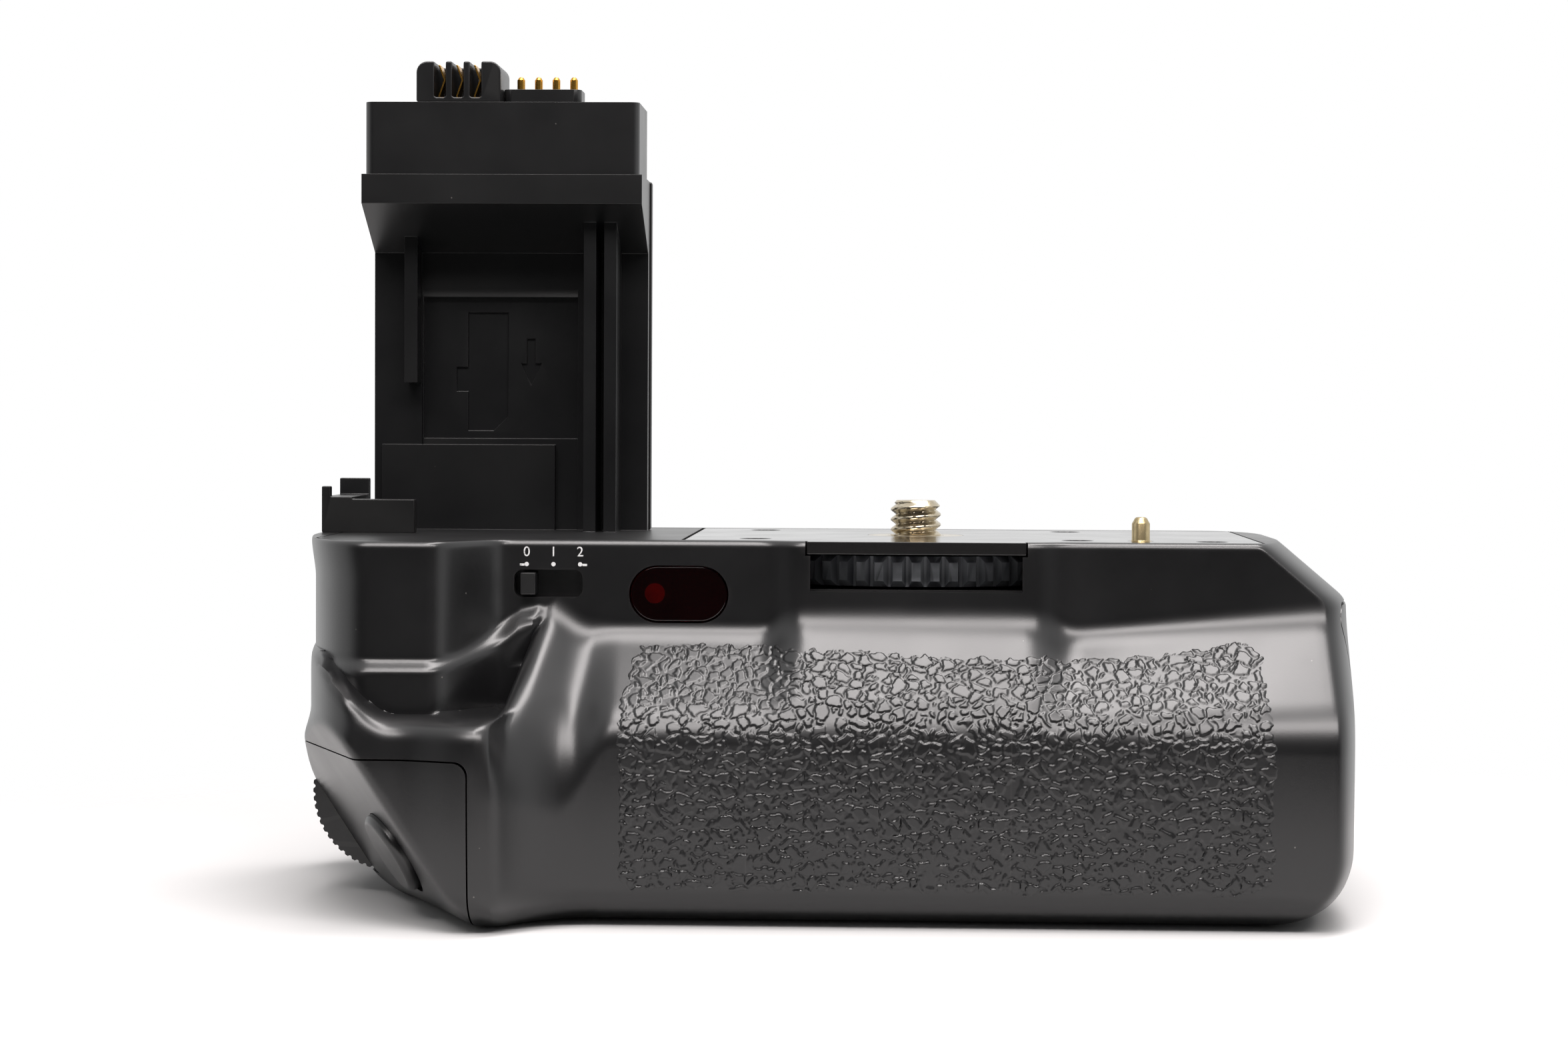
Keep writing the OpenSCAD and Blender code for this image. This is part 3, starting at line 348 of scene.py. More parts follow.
def makeSilicone():
    # Moulded silicone rubber: soft matt grey with a dusty bloom
    material, tree, shader, place = newMaterial("greySilicone", {"IOR": 1.41})
    bloom = addNode(tree, "TexNoise", {"Scale": perMm(2), "Detail": 5}, {"Vector": place})
    tone = addNode(tree, "ValToRGB", links={"Fac": bloom.outputs["Fac"]})
    tone.color_ramp.elements[0].color = linear("#4c4c4e")
    tone.color_ramp.elements[1].color = linear("#6a6a6c")
    tree.links.new(tone.outputs["Color"], shader.inputs["Base Color"])
    sheen = addNode(
        tree, "MapRange", {"To Min": 0.6, "To Max": 0.75}, {"Value": bloom.outputs["Fac"]}
    )
    tree.links.new(sheen.outputs["Result"], shader.inputs["Roughness"])
    return material


def makeRedWindow():
    # Dyed acrylic that passes infra-red: a polished, nearly black red, brighter where it is thin
    settings = {"IOR": 1.49, "Transmission Weight": 0.9}
    material, tree, shader, place = newMaterial("darkRedAcrylic", settings)
    streak = addNode(tree, "TexNoise", {"Scale": perMm(5), "Detail": 3}, {"Vector": place})
    tone = addNode(tree, "ValToRGB", links={"Fac": streak.outputs["Fac"]})
    tone.color_ramp.elements[0].color = linear("#1c0204")
    tone.color_ramp.elements[1].color = linear("#300306")
    tree.links.new(tone.outputs["Color"], shader.inputs["Base Color"])
    sheen = addNode(
        tree, "MapRange", {"To Min": 0.05, "To Max": 0.12}, {"Value": streak.outputs["Fac"]}
    )
    tree.links.new(sheen.outputs["Result"], shader.inputs["Roughness"])
    return material


def makeReceiverLens():
    # Clear red epoxy dome over the receiver with a painted glow: its emission, brightest at the
    # dome's tip and fading within 1.9 mm, paints one bright red spot of reflected light
    material, tree, shader, place = newMaterial("redEpoxyLensPaintedGlow", {"Roughness": 0.15})
    cloud = addNode(tree, "TexNoise", {"Scale": perMm(1.5), "Detail": 2}, {"Vector": place})
    tone = addNode(tree, "ValToRGB", links={"Fac": cloud.outputs["Fac"]})
    tone.color_ramp.elements[0].color = linear("#a01008")
    tone.color_ramp.elements[1].color = linear("#ff2812")
    tree.links.new(tone.outputs["Color"], shader.inputs["Base Color"])
    tree.links.new(tone.outputs["Color"], shader.inputs["Emission Color"])
    low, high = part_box("receiver")
    tip = ((low.x + high.x) / 2, low.y, (low.z + high.z) / 2)
    far = addNode(tree, "VectorMath", {"operation": "DISTANCE", 1: tip}, {0: place})
    # painted glow: the emission fades with distance from the tip
    glow = addNode(
        tree,
        "MapRange",
        {"From Min": 0.1 * mm, "From Max": 1.9 * mm, "To Min": 0.7, "To Max": 0.01},
        {"Value": far.outputs["Value"]},
    )
    tree.links.new(glow.outputs["Result"], shader.inputs["Emission Strength"])
    return material


def makePrintInk():
    # Pad-printed white ink: matt, slightly uneven, with pin holes
    material, tree, shader, place = newMaterial("whitePadPrint", {"Roughness": 0.55})
    holes = addNode(tree, "TexNoise", {"Scale": perMm(0.25), "Detail": 3}, {"Vector": place})
    tone = addNode(tree, "ValToRGB", links={"Fac": holes.outputs["Fac"]})
    tone.color_ramp.elements[0].color = linear("#8a8a8a")
    tone.color_ramp.elements[1].color = linear("#d2d2d2")
    tree.links.new(tone.outputs["Color"], shader.inputs["Base Color"])
    tone.color_ramp.elements[0].position = 0.3
    tone.color_ramp.elements[1].position = 0.45
    return material


boardLacquer = makeBoardLacquer()
silicone = makeSilicone()
redAcrylic = makeRedWindow()
receiverLensPaintedGlow = makeReceiverLens()
printInk = makePrintInk()
print("materials made")


# The housing's form, after the solids but with softer edges: where its faces lie, in millimetres

form = dict(
    left=-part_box("front_shell")[0].x / mm,
    right=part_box("tray_cap")[1].x / mm,
    top=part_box("top_plate")[1].z / mm,
    capX=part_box("tray_cap")[0].x / mm,  # seam of the battery door
    band=23.1,  # front face of the upper band
    rear=24.0,  # rear face
    partY=2.0,  # seam between the front and rear shells
    wall=1.8,
    seam=0.2,
    play=0.35,  # round moving pieces
    rim=1.6,  # round the top plate
    footR=5.0,
    footRun=9.5,
    browR=0.8,
    ridgeZ=24.0,  # upper edge of the grip
    shoulderStep=0.9,
    hookX=48.3,  # left end of the grip
    crestStep=0.3,
    pressTilt=math.radians(20),  # the shutter button's face
    pressSlope=math.radians(33),
    pressFrom=(13.8, 6.2, 8.1),  # its centre, from the left end, the band and the floor
    pressBlend=1.5,
)
form["shoulderZ"] = form["ridgeZ"] + form["shoulderStep"]
form["crestX"] = -form["hookX"] - form["crestStep"]
form["pressAt"] = (
    form["pressFrom"][0] - form["left"],
    -form["band"] - form["pressFrom"][1],
    form["pressFrom"][2],
)
form["pressOut"] = (
    -math.cos(form["pressSlope"]) * math.cos(form["pressTilt"]),
    -math.sin(form["pressTilt"]),
    -math.sin(form["pressSlope"]) * math.cos(form["pressTilt"]),
)


def clamp01(t):
    return np.clip(t, 0, 1)


def ease(t):
    c = clamp01(t)
    return c * c * (3 - 2 * c)


def ramp(x, a, b):
    return ease((x - a) / (b - a))


def hookRamp(x, run):  # a ramp between two distances from the hook
    return ramp(x, run[0] - form["hookX"], run[1] - form["hookX"])


def mix(a, b, t):
    return a + (b - a) * t


def hump(x, centre, width):
    return ease(1 - np.abs(x - centre) / width)


def hat(x, centre, below, above):  # straight flanks to either side of a centre
    return clamp01(np.where(x < centre, 1 - (centre - x) / below, 1 - (x - centre) / above))


def softMin(a, b, k):
    return np.minimum(a, b) - np.maximum(k - np.abs(a - b), 0) ** 2 / (4 * k)


def softMax(a, b, k):
    return np.maximum(a, b) + np.maximum(k - np.abs(a - b), 0) ** 2 / (4 * k)


def roundOff(d, a):
    return np.sqrt(np.maximum(1 - ((a - np.clip(d, 0, a)) / a) ** 2, 0))


def arcDrop(d, r):
    return r - np.sqrt(np.maximum(r * r - (r - np.clip(d, 0, r)) ** 2, 0))


leftSide = dict(
    cornerIn=0.7,  # the corner over the shutter button
    cornerZ=12.8,
    waistZ=20.0,
    draw=0.5,  # the top leans out by this
    drawRun=5,
    blend=2.5,
    footR=4,
    roundR=10,
    root=4,
)
rightSide = dict(
    cornerR=9.0,
    draw=0.4,  # drawn in over the ridge by this
    drawDrop=7,
    slantIn=0.6,  # the chamfer at the upper right
    slantDrop=6.8,
    slantRun=1.18,
    blend=1,
    roundR=4.5,
    root=6,
)


def leftX(z):
    s, top = leftSide, form["top"]
    waist = ramp(z, s["waistZ"], form["shoulderZ"]) - s["draw"] * ramp(z, top - s["drawRun"], top)
    corner = s["cornerIn"] - form["left"]
    slope = corner + (s["cornerZ"] - z) * math.tan(form["pressSlope"])
    return softMax(waist - form["left"], slope, s["blend"]) + arcDrop(z, s["footR"])


def rightX(z):
    s, top = rightSide, form["top"]
    upper = form["right"] - s["draw"] * ramp(z, form["ridgeZ"], top - s["drawDrop"])
    slant = form["right"] - s["slantIn"] - (z - top + s["slantDrop"]) * s["slantRun"]
    return softMin(upper, slant, s["blend"]) - arcDrop(z, s["cornerR"])


band = dict(
    lobeProud=9.5,  # the lobe under the stem
    lobeFade=(-57, -48.5),
    blockProud=1.5,  # the block over the wheel
    blockHalf=13.2,
    flank=5.2,
    lobeDrop=13.7,  # lower edge under the top, by stretches from left to right
    switchDrop=7.6,
    switchRun=(-8.7, 3.8),
    remoteDrop=11.0,
    remoteRun=(3.3, 10),
    wheelDrop=9.2,  # 7.9 in the solid
    pocketDrop=11.0,
    pocketStep=1,
    pocketEndDrop=8.5,  # 7.6 in the solid
)


def bandFace(x):
    b, k = band["blockHalf"], band["flank"]
    lobe = band["lobeProud"] * (1 - ramp(x, *band["lobeFade"]))
    block = band["blockProud"] * (ramp(x, -b - k, -b) - ramp(x, b, b + k))
    return -form["band"] - lobe - block


def footZ(x):  # lower edge of the band
    b, k = band["blockHalf"], band["flank"]
    drop = mix(band["lobeDrop"], band["switchDrop"], hookRamp(x, band["switchRun"]))
    drop = mix(drop, band["remoteDrop"], hookRamp(x, band["remoteRun"]))
    drop = mix(drop, band["wheelDrop"], ramp(x, -b - k, -b))
    near = b + k + band["pocketStep"]
    drop = mix(drop, band["pocketDrop"], ramp(x, b, near))
    drop = mix(drop, band["pocketEndDrop"], clamp01((x - near) / (form["capX"] - near)))
    return form["top"] - drop


grip = dict(
    proud=11.9,
    ridgeFall=3.8,
    ridgeRun=(6.8, 13.3),
    houseProud=4.6,  # over the grip, at the left end and at the hook
    hookProud=7.4,
    houseRun=(-12, -2),
    hookRun=10.5,
    tuck=1.4,  # the foot lies behind the ridge by this
    hookBlend=1.2,
    bandBlend=2,
    ridgeBlend=3,
    fallBlend=0.8,
)


def ridgeAt(x):  # the grip's upper edge falls away towards the hook
    return form["ridgeZ"] - grip["ridgeFall"] * (1 - hookRamp(x, grip["ridgeRun"]))


def gripFace(x, z):
    out = -form["band"] - grip["proud"]
    house = out - mix(grip["houseProud"], grip["hookProud"], hookRamp(x, grip["houseRun"]))
    along = np.clip((x + form["hookX"]) / grip["hookRun"], -1, 1)
    flank = out - grip["hookProud"] * (1 - along) ** 2
    tuck = grip["tuck"] * clamp01((form["ridgeZ"] - z) / form["ridgeZ"]) ** 2
    return softMax(house, flank, grip["hookBlend"]) + tuck


def rightFace(x, z):  # band, sloping shelf and grip
    flat, foot, ridge = bandFace(x), footZ(x), ridgeAt(x)
    crown = gripFace(x, ridge)
    shelf = flat + (crown - flat) * (foot - z) / (foot - ridge)
    soft = grip["ridgeBlend"] + grip["fallBlend"] * (form["ridgeZ"] - ridge)
    return softMax(softMin(flat, shelf, grip["bandBlend"]), gripFace(x, z), soft)


crest = dict(
    edgeR=2.8,  # 1.6 in the solid
    lean=3.4,
    leanRun=11,
    rise=7.0,  # of the shoulder towards the left end
    riseRun=(3.5, 14.5),
    slope=0.95,
    blend=1.0,
    tuck=0.5,
    tuckRun=6,
    faceRun=(-1, 1.5),
    overRun=1,
    fall=30,
    fallRun=0.3,
    seamBlend=(0.02, 0.5),
    seamRun=(-0.5, 1.5),
    bandRun=(2.8, 5),
)
scoop = dict(proud=1.3, foot=1.6, lipProud=1.1, lipFoot=1.4, lipIn=1.7, lipRun=7, fade=(-1, 2.5))


def crestX(z):
    return form["crestX"] + crest["lean"] * clamp01((z - form["ridgeZ"]) / crest["leanRun"])


def shoulderLift(x):
    a, b = crest["riseRun"]
    return crest["rise"] * (1 - ramp(x, a - form["left"], b - form["left"]))


def scoopFace(x, z):  # the hollow between lobe and shoulder, with a lip at the hook
    lip = hump(x, -form["hookX"] - scoop["lipIn"], scoop["lipRun"])
    a, b = scoop["fade"]
    proud = scoop["proud"] + scoop["lipProud"] * lip
    proud = proud * (1 - ramp(x, crestX(z) + a, crestX(z) + b))
    return bandFace(x) - proud * ramp(footZ(x) - z, 0, scoop["foot"] + scoop["lipFoot"] * lip)


def bodyFace(x, z, inset):
    c, at, shoulder = crest, crestX(z), form["shoulderZ"]
    rim = shoulder + shoulderLift(x)
    edge = softMax(rim - z, (x - at) * c["slope"], c["blend"]) - inset
    house = gripFace(x, z) + c["tuck"] * clamp01((z - shoulder + c["tuckRun"]) / c["tuckRun"]) ** 2
    upper = ramp(z, rim - c["overRun"], rim + c["overRun"])  # the house ends at the shoulder
    right = ramp(x, at + c["faceRun"][0], at + c["faceRun"][1])
    face = mix(house, rightFace(x, z), np.maximum(right, upper))
    raised = face + arcDrop(edge, c["edgeR"]) + c["fall"] * clamp01(-edge / c["fallRun"])
    soft = mix(*c["seamBlend"], ramp(footZ(x) - z, *c["seamRun"]))  # no seam up on the band
    beside = ramp(x, at + c["bandRun"][0] + inset, at + c["bandRun"][1] + inset)
    return mix(softMin(scoopFace(x, z), raised, soft), raised, beside)


def frontY(x, z, inset=0.0):
    px, py, pz = form["pressAt"]
    nx, ny, nz = form["pressOut"]
    leftEnd = roundOff(x - leftX(z) - inset, leftSide["roundR"])
    rightEnd = roundOff(rightX(z) - inset - x, rightSide["roundR"])
    face = mix(inset - leftSide["root"], bodyFace(x, z, inset) + inset, leftEnd)
    face = mix(inset - rightSide["root"], face, rightEnd)
    press = py - (nx * (x - px) + nz * (z - pz)) / ny + inset / math.sin(form["pressTilt"])
    run = mix(1, form["footRun"] / form["footR"], leftEnd * rightEnd)
    sole = arcDrop(z - inset, form["footR"] - inset) * run
    brow = arcDrop(form["top"] - z - inset, form["browR"])
    return softMax(face, press, form["pressBlend"]) + sole + brow


rearSide = dict(
    roundR=6,
    root=8,
    swell=1.6,  # of the thumb rest, to the rear
    swellAt=(-60, 16),
    swellRun=(20, 16),
    thumbOut=3.6,  # and to the left
    thumbZ=17.0,
    thumbRun=(16, 11),
)


def rearY(x, z, inset=0.0):
    s = rearSide
    ends = roundOff(x - leftX(z) - inset, s["roundR"]) * roundOff(rightX(z) - inset - x, s["roundR"])
    (midX, midZ), (runX, runZ) = s["swellAt"], s["swellRun"]
    rest = s["swell"] * hump(x, midX, runX) * hump(z, midZ, runZ)
    face = mix(form["partY"] + s["root"] - inset, form["rear"] + rest - inset, ends)
    sole = arcDrop(z - inset, form["footR"] - inset)
    return face - (sole + arcDrop(form["top"] - z - inset, form["browR"]))


# Sheets: a grid primitive whose points are set by a form

grid = dict(
    rowRun=17,  # rows rise with the shoulder over this height
    drawnIn=(-56, 38),  # beyond these, stations are drawn in with the ends
    leanRun=(10, 12),
    beside=(-0.3, -0.02, 0.02, 0.12, 0.3, 0.55, 0.9, 1.3, 1.8, 2.3, 2.8),  # from the crest's edge
    plain=(-33, 36),
    brow=(1, 0.6, 0.3, 0.1, 0),
    border=5,
)


def span(a, b, step):
    n = max(1, int(round((b - a) / step)))
    return [a + (b - a) * i / n for i in range(n)]


def arcSpan(r, n):
    return [r * (1 - math.cos(math.pi / 2 * i / n)) for i in range(n)]


def endSpan(r, n):
    return [form["right"] - r * (1 - math.sin(math.pi / 2 * i / n)) for i in range(n + 1)]


def sheetFrom(name, cols, rows, place):
    deselectAll()
    bpy.ops.mesh.primitive_grid_add(
        x_subdivisions=len(cols) - 1, y_subdivisions=len(rows) - 1, size=2
    )
    sheet = bpy.context.object
    sheet.name = name
    spots = np.empty(len(sheet.data.vertices) * 3)
    sheet.data.vertices.foreach_get("co", spots)
    i = np.rint((spots[0::3] + 1) / 2 * (len(cols) - 1)).astype(int)
    j = np.rint((spots[1::3] + 1) / 2 * (len(rows) - 1)).astype(int)
    points = place(np.array(cols)[i], np.array(rows)[j])
    sheet.data.vertices.foreach_set("co", (np.stack(points, 1) * mm).ravel())
    sheet.data.update()
    return sheet


def closeBack(sheet, backY):  # walls from the sheet's border to a flat back
    editAll(sheet)
    selectBorder()
    bpy.ops.mesh.extrude_edges_move()
    bpy.ops.transform.resize(value=(1, 0, 1), center_override=(0, backY * mm, 0))
    bpy.ops.mesh.edge_face_add()
    endEdit()
    return sheet


def rowZ(r, s, inset):  # rows follow the shoulder where it rises
    z = mix(inset, form["top"] - inset, r / form["top"])
    return z + shoulderLift(s) * hat(z, form["shoulderZ"], grid["rowRun"], grid["rowRun"])


def stationX(s, z, inset):  # stations follow the crest and are drawn in with the ends
    left, right = leftX(z) + inset, rightX(z) - inset
    a, b = grid["drawnIn"]
    lean = (crestX(z) - form["crestX"]) * hat(s, form["crestX"], *grid["leanRun"])
    x = np.where(s < a, mix(left, a, (s + form["left"]) / (form["left"] + a)), s)
    return np.where(s > b, mix(b, right, (s - b) / (form["right"] - b)), x) + lean


def browRows():
    return [form["top"] - form["browR"] * c for c in grid["brow"]]


def frontGrid(step):  # stations and rows, closer together where the form turns
    left, right, top = form["left"], form["right"], form["top"]
    at, shoulder, beside = form["crestX"], form["shoulderZ"], grid["beside"]
    leftR, rightR = leftSide["roundR"], rightSide["roundR"]
    a, b = grid["plain"]
    cols = [d - left for d in arcSpan(leftR, 24)] + span(leftR - left, at - 1, 0.9 * step)
    cols += [at + d for d in beside] + span(at + 3.2, a, 0.9 * step)
    cols += span(a, b, 1.6 * step) + span(b, right - rightR, 0.8 * step)
    cols += endSpan(rightR, 20)
    rows = arcSpan(form["footR"], 14) + span(form["footR"], shoulder - 5, step)
    rows += span(shoulder - 5, shoulder - 3.1, 0.3) + [shoulder - d for d in beside[::-1]]
    rows += span(shoulder + 0.6, top - form["browR"], 0.7 * step)
    return cols, rows + browRows()


def makeFrontForm(step, inset, backY):
    def place(s, r):
        z = rowZ(r, s, inset)
        x = stationX(s, z, inset)
        return x, frontY(x, z, inset), z

    return closeBack(sheetFrom("frontForm", *frontGrid(step), place), backY)


def makeRearForm(step, inset, backY):
    left, right, top = form["left"], form["right"], form["top"]
    endR, (thumbX, thumbZ) = rearSide["roundR"], rearSide["thumbRun"]
    border = -left - grid["border"]  # stands for the edge on the parting plane
    cols = [border] + [max(d, 0.05) - left for d in arcSpan(endR, 16)]
    cols += span(endR - left, right - endR, step) + endSpan(endR, 16)
    rows = arcSpan(form["footR"], 10) + span(form["footR"], top - form["browR"], step)

    def place(s, r):
        z = mix(inset, top - inset, r / top)
        x = stationX(np.maximum(s, -left), z, inset)
        swell = 0 if inset else rearSide["thumbOut"] * hump(z, rearSide["thumbZ"], thumbZ)
        out = swell * (1 - ramp(s, -left, thumbX - left))
        atEdge = s == border
        y = np.where(atEdge, form["partY"] + 0.4, rearY(x, z, inset))
        return np.where(atEdge, x, x - out), y, z

    return closeBack(sheetFrom("rearForm", cols, rows + browRows(), place), backY)


# Pebbled grip moulded on the front: flat-topped islands with lobed outlines

pebble = dict(
    pitch=1.3,  # spacing of the islands
    jitter=0.95,  # of their centres, in spacings
    weight=0.45,  # most that one gains on its neighbours
    seed=7,
    height=0.15,
    slope=0.11,  # run of an island's edge
    gap=0.085,
    gapRange=(0.3, 1.9),  # narrowest and widest, times the gap
    gapPatch=1.6,  # size of stretches with like gaps
    gapSeed=25,
    lobes=((1.1, 0.75, 21), (0.5, 0.42, 31)),  # size, reach and seed of the outlines' lobes
    skin=0.03,  # the ground between the islands stands this far over the shell
    sunk=-0.06,  # and its border this far under it
    borderRun=(-0.3, 0.8),
    islandIn=0.15,  # islands keep this far from the border
    hidden=-0.1,  # outside the border the strip lies under the shell,
    hiddenFrom=-0.25,  # from this distance on
    left=-34.7,
    right=41.5,
    bottom=4.6,
    topLeft=32.9,
    topMid=31.6,
    topRight=33.6,
    fallX=(-33, 20),  # stretches over which the upper border changes
    riseX=(24, 39),
    leanLeft=1.2,
    leanRight=0.8,
    leanZ=(24, 33),
    corner=2.6,
    margin=0.3,
    midX=3.0,  # rows are spaced evenly along the surface here
    lastZ=34,
    back=0.4,  # thickness of a strip
    step=0.125,
    strips=5,
)


def lattice(seed, n=256):
    return np.random.default_rng(seed).random((n, n))


def valueNoise(u, v, seed):
    table = lattice(seed)
    n = len(table)
    iu, iv = np.floor(u).astype(int), np.floor(v).astype(int)
    fu, fv = ease(u - iu), ease(v - iv)
    a = mix(table[iu % n, iv % n], table[(iu + 1) % n, iv % n], fu)
    b = mix(table[iu % n, (iv + 1) % n], table[(iu + 1) % n, (iv + 1) % n], fu)
    return mix(a, b, fv)


def cellGap(u, v, seed):  # distance to the border between the nearest two cells, in cells
    jitterU, jitterV, weight = lattice(seed), lattice(seed + 1), lattice(seed + 2)
    n = len(jitterU)
    iu, iv = np.floor(u).astype(int), np.floor(v).astype(int)
    near = np.full(u.shape, 9.0)
    second = np.full(u.shape, 9.0)
    for du in (-2, -1, 0, 1, 2):
        for dv in (-2, -1, 0, 1, 2):
            cu, cv = (iu + du) % n, (iv + dv) % n
            su = iu + du + 0.5 + pebble["jitter"] * (jitterU[cu, cv] - 0.5)
            sv = iv + dv + 0.5 + pebble["jitter"] * (jitterV[cu, cv] - 0.5)
            d = np.hypot(u - su, v - sv) - pebble["weight"] * weight[cu, cv]
            second = np.minimum(second, np.maximum(near, d))
            near = np.minimum(near, d)
    return (second - near) / 2


def pebbleTop(x):  # upper border of the pebbled field
    low = mix(pebble["topLeft"], pebble["topMid"], ramp(x, *pebble["fallX"]))
    return mix(low, pebble["topRight"], ramp(x, *pebble["riseX"]))


def pebbleField(x, z):  # distance inside the field, its corners rounded
    p, r = pebble, pebble["corner"]
    lean = ramp(z, *p["leanZ"])
    sides = np.minimum(x - p["left"] - p["leanLeft"] * lean, p["right"] - p["leanRight"] * lean - x)
    ends = np.minimum(pebbleTop(x) - z, z - p["bottom"])
    corner = np.hypot(np.maximum(r - sides, 0), np.maximum(r - ends, 0))
    return np.where((sides < r) & (ends < r), r - corner, np.minimum(sides, ends))


def pebbleHeight(x, z, along):
    p, u, v = pebble, x, along
    for size, reach, seed in p["lobes"]:
        u = u + reach * (valueNoise(x / size, along / size, seed) - 0.5)
        v = v + reach * (valueNoise(x / size, along / size, seed + 1) - 0.5)
    gap = cellGap(u / p["pitch"], v / p["pitch"], p["seed"]) * p["pitch"]
    patch = valueNoise(x / p["gapPatch"], along / p["gapPatch"], p["gapSeed"])
    width = p["gap"] * mix(*p["gapRange"], patch)
    field = pebbleField(u, z + v - along)
    ground = mix(p["sunk"], p["skin"], ramp(field, *p["borderRun"]))
    inside = np.minimum(gap - width, field - p["islandIn"])
    return ground + p["height"] * ramp(inside, 0, p["slope"])


def makePebbles():
    p, d = pebble, 0.05
    rows = [p["bottom"] - p["margin"]]
    while rows[-1] < p["lastZ"]:
        slope = (frontY(p["midX"], rows[-1] + d) - frontY(p["midX"], rows[-1] - d)) / (2 * d)
        rows.append(rows[-1] + p["step"] / math.hypot(1, float(slope)))
    profile = frontY(np.full(len(rows), p["midX"]), np.array(rows))
    along = np.concatenate(([0], np.cumsum(np.hypot(np.diff(profile), np.diff(rows)))))
    low, high = p["left"] - p["margin"], p["right"] + p["margin"]

    def place(x, z):
        y = frontY(x, z)
        slopeX = (frontY(x + d, z) - frontY(x - d, z)) / (2 * d)
        slopeZ = (frontY(x, z + d) - frontY(x, z - d)) / (2 * d)
        height = pebbleHeight(x, z, np.interp(z, rows, along))
        out = np.where(pebbleField(x, z) > p["hiddenFrom"], height, p["hidden"])
        out = out / np.sqrt(1 + slopeX**2 + slopeZ**2)
        return x + out * slopeX, y - out, z + out * slopeZ

    for k in range(p["strips"]):
        x0 = mix(low, high, k / p["strips"])
        x1 = mix(low, high, (k + 1) / p["strips"])
        cols = span(x0, x1, p["step"]) + [x1]
        strip = sheetFrom(f"gripPebbles.{k + 1}", cols, rows, place)
        applyModifier(strip, "SOLIDIFY", thickness=p["back"] * mm, offset=-1)
        finishPiece(strip, "housing", "black_plastic", pebbleAbs, angle=50)


# Openings in the shells

frontCut = (-60, 5 - form["band"])  # cutters through the band run between these in Y
shutter = dict(
    seamX=form["pressAt"][0] + 9.9,
    seamZ=form["ridgeZ"] - 4,
    corner=1.6,
    outside=(-120, -80, -40),  # a corner well outside the housing
    rise=4.0,  # of the seam round the left end
    riseY=(-16, 2),
    sideX=(-100, -60),
    sideY=(-18, 10),
    lap=6,
    buttonR=5.2,
    buttonDeep=6,
    dialPlay=0.15,
)
slot = dict(x=-48.0, z=form["top"] - 5.25, height=3.3, length=8.2, corner=1.0)
window = dict(x=-28.3, z=form["top"] - 6.45, width=11.7, height=6.7, gap=0.2)
wheelSlot = dict(half=band["blockHalf"], lip=0.6)
topArea = dict(left=-form["left"] + form["rim"] + 1.6, right=form["right"] - 11.5, rearRim=1)
baseArea = dict(low=(-46.0, -22.0), high=(form["capX"] - 4, 15.5))
sleeve = dict(half=21.3, low=5.05, high=39.35, deep=12)
rearKeys = dict(radius=3.2, front=-4, length=13)
powerSlot = dict(lapX=0.55, lapZ=0.65, travel=3, front=-3, back=9)
door = dict(
    half=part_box("tray_cap")[1].y / mm,
    low=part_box("tray_cap")[0].z / mm,
    high=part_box("tray_cap")[1].z / mm,
    corner=3.0,
    segments=8,
    outside=10,
    knobDeep=3.4,
    knobRun=9,
    shaftR=2.05,
    shaftRun=8,
    camY=-4.5,
    camDrop=4,
    lap=0.5,  # of the front form over the rear one
)


def topSpace():  # the top plate's place, along the front edge's curve
    x0, x1, low = topArea["left"], topArea["right"], form["top"] - form["wall"] - spare
    endR = leftSide["roundR"]
    xs = [x0] + [s for s in [d - form["left"] for d in arcSpan(endR, 16)] if x0 < s < x1]
    xs += [s for s in span(endR - form["left"], x1, 0.8) if s > xs[-1]] + [x1]
    rearEdge = form["rear"] - form["rim"] - topArea["rearRim"]

    def place(s, t):
        edge = frontY(s, np.full_like(s, form["top"] - form["browR"])) + form["rim"]
        return s, mix(edge, rearEdge, t), np.full_like(s, low)

    return drawOut(sheetFrom("slab", xs, [0.0, 1.0], place), (0, 0, form["top"] + spare - low))


def shutterSpace(grow):  # the shutter housing's corner block; its seam rises round the left end
    s = shutter
    x1, z1 = s["seamX"] + grow, s["seamZ"] + grow
    front = roundedPrism(s["outside"], (x1, -s["outside"][1], z1), 1, s["corner"])
    (sideLow, sideHigh), (y0, y1) = s["sideX"], s["sideY"]

    def place(y, t):
        low = np.full_like(y, z1 - s["lap"])
        rise = z1 + s["rise"] * ramp(y, *s["riseY"])
        return np.full_like(y, sideLow), y, mix(low, rise, t)

    side = sheetFrom("side", span(y0, y1, 1) + [y1], [0.0, 1.0], place)
    return carve(front, drawOut(side, (sideHigh - sideLow, 0, 0)), operation="UNION")


def windowSpace():
    w = window
    width, height = w["width"] + w["gap"], w["height"] + w["gap"]
    return roundedPrism(
        (w["x"] - width / 2, frontCut[0], w["z"] - height / 2),
        (w["x"] + width / 2, frontCut[1], w["z"] + height / 2),
        1,
        height / 2 - 0.01,
        16,
    )


def switchSpace():
    return roundedPrism(
        (slot["x"], frontCut[0], slot["z"] - slot["height"] / 2),
        (slot["x"] + slot["length"], frontCut[1], slot["z"] + slot["height"] / 2),
        1,
        slot["corner"],
    )


def doorSpace(grow):
    half = door["half"] + grow
    return roundedPrism(
        (form["capX"] - grow, -half, door["low"] - grow),
        (form["right"] + door["outside"], half, door["high"] + grow),
        0,
        door["corner"] + grow,
        door["segments"],
    )


def sleeveSpace():  # room for the chassis at the battery door
    half, x1 = sleeve["half"], form["capX"]
    return boxFrom((x1 - sleeve["deep"], -half, sleeve["low"]), (x1, half, sleeve["high"]))


def baseSpace():
    (x0, y0), (x1, y1) = baseArea["low"], baseArea["high"]
    return boxFrom((x0, y0, -spare), (x1, y1, form["wall"] + spare))


